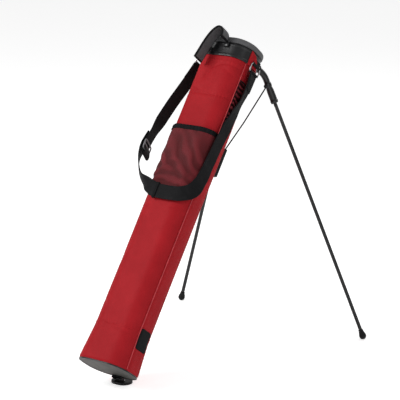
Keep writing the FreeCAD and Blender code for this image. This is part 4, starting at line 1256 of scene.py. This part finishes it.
def make_handle():
    """Padded arched grip: black core, grey gripping face, bound edges and two anchors."""
    points = [Vector((x, -GRIP_STAND, level)) for x, level in GRIP_PATH]
    run = smooth_run(points, facings(points, Vector((0, 1, 0))), 1.6)

    def padding(along, across):
        return 0.9 * (1 - (across / 17.5) ** 2) + 0.15 * cloud(along / 7, across / 6, 2.0)

    core = band("grip_core", run, GRIP_WIDTH, 4.6, strap_webbing, padding, edge=2.2)
    place_piece(core, "bag", "grip_pad", "handle_grip")
    for word, way in (("outer", 1), ("inner", -1)):
        face = [(p + n * way * (2.75 if way > 0 else 2.35), w, n * way) for p, w, n in run[2:-2]]

        def crown(_, across):
            return 0.55 * (1 - (across / 15) ** 2)

        pad = band("grip_face_" + word, face, GRIP_WIDTH - 7, 1.0, grip_face, crown, edge=0.8)
        place_piece(pad, "bag", "grip_pad")
    for index, across in enumerate((-15.5, 15.5)):
        path = [(bag(*(p + n.cross(w) * across + n * 2.65)), bag_way(*n)) for p, w, n in run[3:-3]]
        sew(f"stitches_grip_{index}", path, 2.8, 2.1, 0.25, black_thread, "grip_pad")
    anchors = []
    for index, (x, level) in enumerate(GRIP_ANCHORS):
        low = level - 6
        profile = rounded_loop([(-6, low), (6, low), (6, low + 12), (-6, low + 12)], 2.2)
        rows, lay = [], []
        for depth, scale in ANCHOR_PROFILE:
            row = [bag(x + a * scale, depth, low + 6 + (b - low - 6) * scale) for a, b in profile]
            rows.append(row)
            lay.append([Vector((a, b, depth)) * MM for a, b in profile])
        anchors.append(grid_piece(f"grip_anchor_{index}", rows, lay, black_shell, ring=True))
    place_piece(anchors[0], "bag", "black_moulding", "handle_anchors")
    place_piece(anchors[1], "bag", "black_moulding")


# ---------------------------------------------------------------- legs

HINGE_SIDE = 32.0
HINGE_DEPTH = 66.0
HINGE_LEVEL = 832.0
LEG_TURN = math.radians(62.6)
LEG_SLOPE = math.radians(41.8)
ARM_STRAIGHT = 4.0
ARM_BEND = 50.0
LAST_BEND_POINT = 15
ARM_TALL = 1.18
SOCKET_START = 23.1
SOCKET_REACH = 80.0
LUG_OUT = 42.0
LUG_DOWN = 28.0
STRUT_BALL = 2.6
FOOT_BALL = 9.0
FOOT_NECK = 17.0
LEG_PROFILE = (
    (0.0, 4.2), (0.004, 4.5), (0.012, 4.5), (0.0125, 4.75), (0.016, 4.75), (0.0165, 4.5), (0.3, 4.5),
    (0.65, 4.5), (0.968, 4.5), (0.9685, 4.7), (0.973, 4.7), (0.9735, 4.5), (1.0, 4.5),
)


def leg_point(side, out, beside, up):
    """A point of a leg: out from the hinge, beside the leg's plane and up, in the row's frame."""
    turn = LEG_TURN if side > 0 else math.pi - LEG_TURN
    x = side * HINGE_SIDE + out * math.cos(turn) - beside * math.sin(turn)
    n = HINGE_DEPTH + out * math.sin(turn) + beside * math.cos(turn)
    return bag(x, n, HINGE_LEVEL + up)


def arm_line():
    """(out, up, radius) along a moulded arm, from its knuckle to the mouth of its socket."""
    line = [(1.0, 0.0, 6.6)]
    for share in span(0, 1, 0.07):
        turn = LEG_SLOPE * share
        bent = ARM_BEND * (math.cos(turn) - 1)
        line.append((ARM_STRAIGHT + ARM_BEND * math.sin(turn), bent, 6.8))
    end_out = SOCKET_START + SOCKET_REACH * math.cos(LEG_SLOPE)
    end_up = -SOCKET_REACH * math.sin(LEG_SLOPE)
    socket = ((53.0, 6.8), (52.4, 7.5), (51.8, 7.7), (44.2, 7.7), (43.4, 7.4), (42.6, 6.8), (40.0, 7.0),
              (36.0, 7.6), (32.0, 8.0), (22.0, 8.1), (12.0, 8.1), (7.6, 8.1), (7.2, 8.7), (3.4, 8.7),
              (3.0, 8.1), (1.4, 8.1), (0.5, 7.8), (0.0, 7.1), (0.0, 4.7), (4.0, 4.6))
    for back, radius in socket:
        line.append((end_out - back * math.cos(LEG_SLOPE), end_up + back * math.sin(LEG_SLOPE), radius))
    return line


def arm_tube(name, side):
    """The arm's round body, swept along its line."""
    line = arm_line()
    rows, lay = [], []
    for i, (out, up, radius) in enumerate(line):
        before, after = line[max(i - 1, 0)], line[min(i + 1, len(line) - 1)]
        slope = math.atan2(before[1] - after[1], after[0] - before[0])
        if i > LAST_BEND_POINT:
            slope = LEG_SLOPE
        row, spots = [], []
        for turn in turns_of(28):
            high = math.cos(turn) * radius * ARM_TALL
            row.append(leg_point(side, out + math.sin(slope) * high, math.sin(turn) * radius,
                                 up + math.cos(slope) * high))
            spots.append(Vector((turn * radius, out, 0)) * MM)
        rows.append(row)
        lay.append(spots)
    return grid_piece(name, rows, lay, black_shell, ring=True)


def turned(name, side, centre, radius, half, material, lip=0.8):
    """A short round boss across a leg's plane, with rounded edges."""
    out, up = centre
    start, end = leg_point(side, out, -half, up), leg_point(side, out, half, up)
    share = lip / (2 * half)
    edge = radius - lip * 0.3
    profile = [(0.0, radius * 0.3), (0.0, radius - lip), (share * 0.3, edge), (share, radius),
               (1 - share, radius), (1 - share * 0.3, edge), (1.0, radius - lip), (1.0, radius * 0.3)]
    return lathe(name, start, end, profile, material)


def make_leg(side, word):
    """Moulded arm with knuckle, socket and strut lug; enamelled tube; rubber foot."""
    body = "leg_" + word
    arm = arm_tube("arm_" + word, side)
    place_piece(arm, body, "black_moulding", "leg_arm_" + word)
    parts = [
        turned("arm_knuckle_" + word, side, (0, 0), 8.0, 7.0, black_shell),
        turned("arm_lug_" + word, side, (LUG_OUT, -LUG_DOWN), 4.6, 2.1, black_shell, lip=0.5),
        arm_web("arm_web_" + word, side),
    ]
    for part in parts:
        place_piece(part, body, "black_moulding")
    along, down = math.cos(LEG_SLOPE), math.sin(LEG_SLOPE)
    start = Vector((SOCKET_START + SOCKET_REACH * along, 0, -SOCKET_REACH * down))
    top = leg_point(side, start.x, 0, start.z)
    way = (leg_point(side, start.x + along, 0, start.z - down) - top).normalized()
    foot_centre = top + way * ((top.z - FOOT_BALL * MM) / -way.z)
    tube = lathe("tube_" + word, top - way * 3 * MM, foot_centre - way * 4 * MM,
                 LEG_PROFILE, leg_enamel)
    place_piece(tube, body, "leg_tube", "leg_tube_" + word)
    neck = foot_centre - way * FOOT_NECK * MM
    tip = foot_centre + way * FOOT_BALL * MM
    profile = [(0.0, 4.55), (0.0, 5.4), (0.03, 5.8)]
    for share in span(0.08, 0.5, 0.105):
        wide = 5.8 + 3.3 * ease(share, 0.05, 0.65)
        profile += [(share, wide), (share + 0.05, wide + 0.15)]
        profile += [(share + 0.06, wide - 0.35), (share + 0.095, wide - 0.35)]
    for turn in span(-0.2, 1.5, 0.17):
        share = (FOOT_NECK + FOOT_BALL * math.sin(turn)) / (FOOT_NECK + FOOT_BALL)
        profile.append((share, FOOT_BALL * math.cos(turn)))
    place_piece(lathe("foot_" + word, neck, tip, profile, rubber, sides=36), body, "foot_rubber",
                "leg_foot_" + word)


def arm_web(name, side):
    """Thin rib that joins the arm to the lug of its strut."""
    along = Vector((math.cos(LEG_SLOPE), -math.sin(LEG_SLOPE)))
    across = Vector((math.sin(LEG_SLOPE), math.cos(LEG_SLOPE)))
    centre = Vector((LUG_OUT, -LUG_DOWN))
    corners = [centre - along * 4.4, centre + along * 4.4, centre + along * 7 + across * 11,
               centre - along * 9 + across * 11]
    rows, lay = [], []
    for beside, scale in ((-1.9, 0.92), (-1.5, 1.0), (1.5, 1.0), (1.9, 0.92)):
        middle = sum(corners, Vector((0, 0))) / 4
        spots = [middle + (corner - middle) * scale for corner in corners]
        rows.append([leg_point(side, spot.x, beside, spot.y) for spot in spots])
        lay.append([Vector((spot.x, spot.y, beside)) * MM for spot in spots])
    return grid_piece(name, rows, lay, black_shell, ring=True)


def make_strut(side, word):
    """Bent wire from the lug to its guide, with a hooked top and a ball at the foot."""
    turn = LEG_TURN
    beside = -side * 5.0
    guide_x, guide_n, guide_up = 44.0 - HINGE_SIDE, 49.5 - HINGE_DEPTH, 590.0 - HINGE_LEVEL
    out = guide_x * math.cos(turn) + guide_n * math.sin(turn)
    end_beside = side * (guide_n * math.cos(turn) - guide_x * math.sin(turn))
    top = (LUG_OUT, beside, -LUG_DOWN)
    end = (out, end_beside, guide_up)
    middle = tuple(a + (b - a) * 0.55 for a, b in zip(top, end))
    points = [(LUG_OUT, -beside, -LUG_DOWN), top, (middle[0], end_beside, middle[2]), end]
    path = [leg_point(side, *p) for p in points]
    wire = bent_wire("strut_" + word, path, 1.75, wire_enamel, corner=0.004)
    place_piece(wire, "strut_" + word, "steel_wire", "wire_" + word)
    way = (path[-1] - path[-2]).normalized()
    r = STRUT_BALL
    profile = [((r + r * math.sin(t)) / (2 * r), r * math.cos(t)) for t in span(-1.45, 1.45, 0.29)]
    start, end = path[-1] - way * r * MM, path[-1] + way * r * MM
    ball = lathe("strut_ball_" + word, start, end, profile, wire_enamel, 16)
    place_piece(ball, "strut_" + word, "steel_wire")


def make_pin_caps():
    """Domed ends of the two hinge pins."""
    for side, word in ((1, "right"), (-1, "left")):
        for way in (1, -1):
            start = leg_point(side, 0, way * 11.0, 0)
            end = leg_point(side, 0, way * 13.2, 0)
            profile = [(0.0, 2.8), (0.0, 4.4), (0.35, 4.5), (0.6, 4.1), (0.85, 3.0), (1.0, 1.2)]
            name = f"pin_cap_{word}_{'outer' if way > 0 else 'inner'}"
            place_piece(lathe(name, start, end, profile, ring_metal, 24), "bag", "steel_pin")


def finish_cad_nodes():
    """Materials of the pieces that are shown as they were designed."""
    finishes = {
        "inner_liner": liner_sheet,
        "base_cup": black_moulding,
        "base_sole": sole_plastic,
        "hinge_block": black_moulding,
        "hinge_pins": pin_metal,
        "foot_bracket": black_moulding,
        "foot_pin": pin_metal,
        "foot_plate": black_moulding,
        "wire_guide_right": black_moulding,
        "wire_guide_left": black_moulding,
    }
    for node, material in finishes.items():
        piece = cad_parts[node]
        piece.data.materials.clear()
        piece.data.materials.append(material)


# ---------------------------------------------------------------- floor, light and camera

STUDIO_GLOW = 0.38
FLOOR_GLOW = 0.15
FLOOR_SHOWN = 0.55
CAMERA_AROUND = math.radians(36.4163)
CAMERA_ABOVE = math.radians(13.4583)
CAMERA_LENS = 153.17
CAMERA_SENSOR = 36.0
CAMERA_PLACE = (2.38213843, -2.92222277, 1.33836237)


def make_stage():
    """Pale floor, a pale backdrop and soft light."""
    paint = bpy.data.materials.new("pale_floor")
    paint.use_nodes = True
    shader = next(n for n in paint.node_tree.nodes if n.type == "BSDF_PRINCIPLED")
    shader.inputs["Base Color"].default_value = (0.93, 0.93, 0.93, 1)
    shader.inputs["Roughness"].default_value = 0.9
    shader.inputs["Emission Color"].default_value = (1, 1, 1, 1)
    paint_nodes = Nodes(paint.node_tree)
    to_camera = paint_nodes.add("ShaderNodeLightPath").outputs["Is Camera Ray"]
    glow = paint_nodes.math("MULTIPLY_ADD", to_camera, FLOOR_SHOWN - FLOOR_GLOW, FLOOR_GLOW)
    paint_nodes.feed(shader, "Emission Strength", glow)
    mesh = bpy.data.meshes.new("floor")
    mesh.from_pydata([(-9, -9, 0), (9, -9, 0), (9, 9, 0), (-9, 9, 0)], [], [(0, 1, 2, 3)])
    mesh.materials.append(paint)
    floor = shown("floor", mesh)
    world = bpy.data.worlds.new("studio")
    world.use_nodes = True
    build = Nodes(world.node_tree)
    seen = build.add("ShaderNodeLightPath").outputs["Is Camera Ray"]
    sky = world.node_tree.nodes["Background"]
    sky.inputs[0].default_value = (1, 1, 1, 1)
    build.feed(sky, "Strength", build.math("MULTIPLY_ADD", seen, 1.0 - STUDIO_GLOW, STUDIO_GLOW))
    bpy.context.scene.world = world
    lamps = (
        ("key", (-1.9, -2.4, 2.9), 1.6, 95),
        ("fill", (2.8, -1.2, 1.6), 2.2, 18),
        ("back", (0.5, 2.8, 2.6), 2.0, 26),
    )
    target = Vector((0, 0.25, 0.4))
    for name, spot, wide, power in lamps:
        light = bpy.data.lights.new(name, "AREA")
        light.size = wide
        light.energy = power
        lamp = bpy.data.objects.new(name, light)
        lamp.location = spot
        lamp.rotation_euler = (target - Vector(spot)).to_track_quat("-Z", "Y").to_euler()
        bpy.context.scene.collection.objects.link(lamp)


def make_view():
    """Plain display of colours, without a film look."""
    bpy.context.scene.view_settings.view_transform = "Standard"


def make_camera():
    """Camera in front, to the right and a little above."""
    around, above = CAMERA_AROUND, CAMERA_ABOVE
    back = Vector((math.sin(around) * math.cos(above), -math.cos(around) * math.cos(above), math.sin(above)))
    lens = bpy.data.cameras.new("camera")
    lens.lens = CAMERA_LENS
    lens.sensor_width = CAMERA_SENSOR
    lens.clip_end = 100
    camera = bpy.data.objects.new("camera", lens)
    camera.location = CAMERA_PLACE
    camera.rotation_euler = back.to_track_quat("Z", "Y").to_euler()
    bpy.context.scene.collection.objects.link(camera)
    bpy.context.scene.camera = camera


make_panels()
make_piping()
seam_stitches()
for side, word in ((1, "right"), (-1, "left")):
    make_peak(side, word)
    make_ring(side, word)
    make_leg(side, word)
    make_strut(side, word)
make_mouth()
make_base()
make_front_pocket()
make_side_pocket()
make_leg_patch()
make_strap()
make_buckle()
make_keeper()
make_handle()
make_pin_caps()
finish_cad_nodes()
make_stage()
make_camera()
make_view()
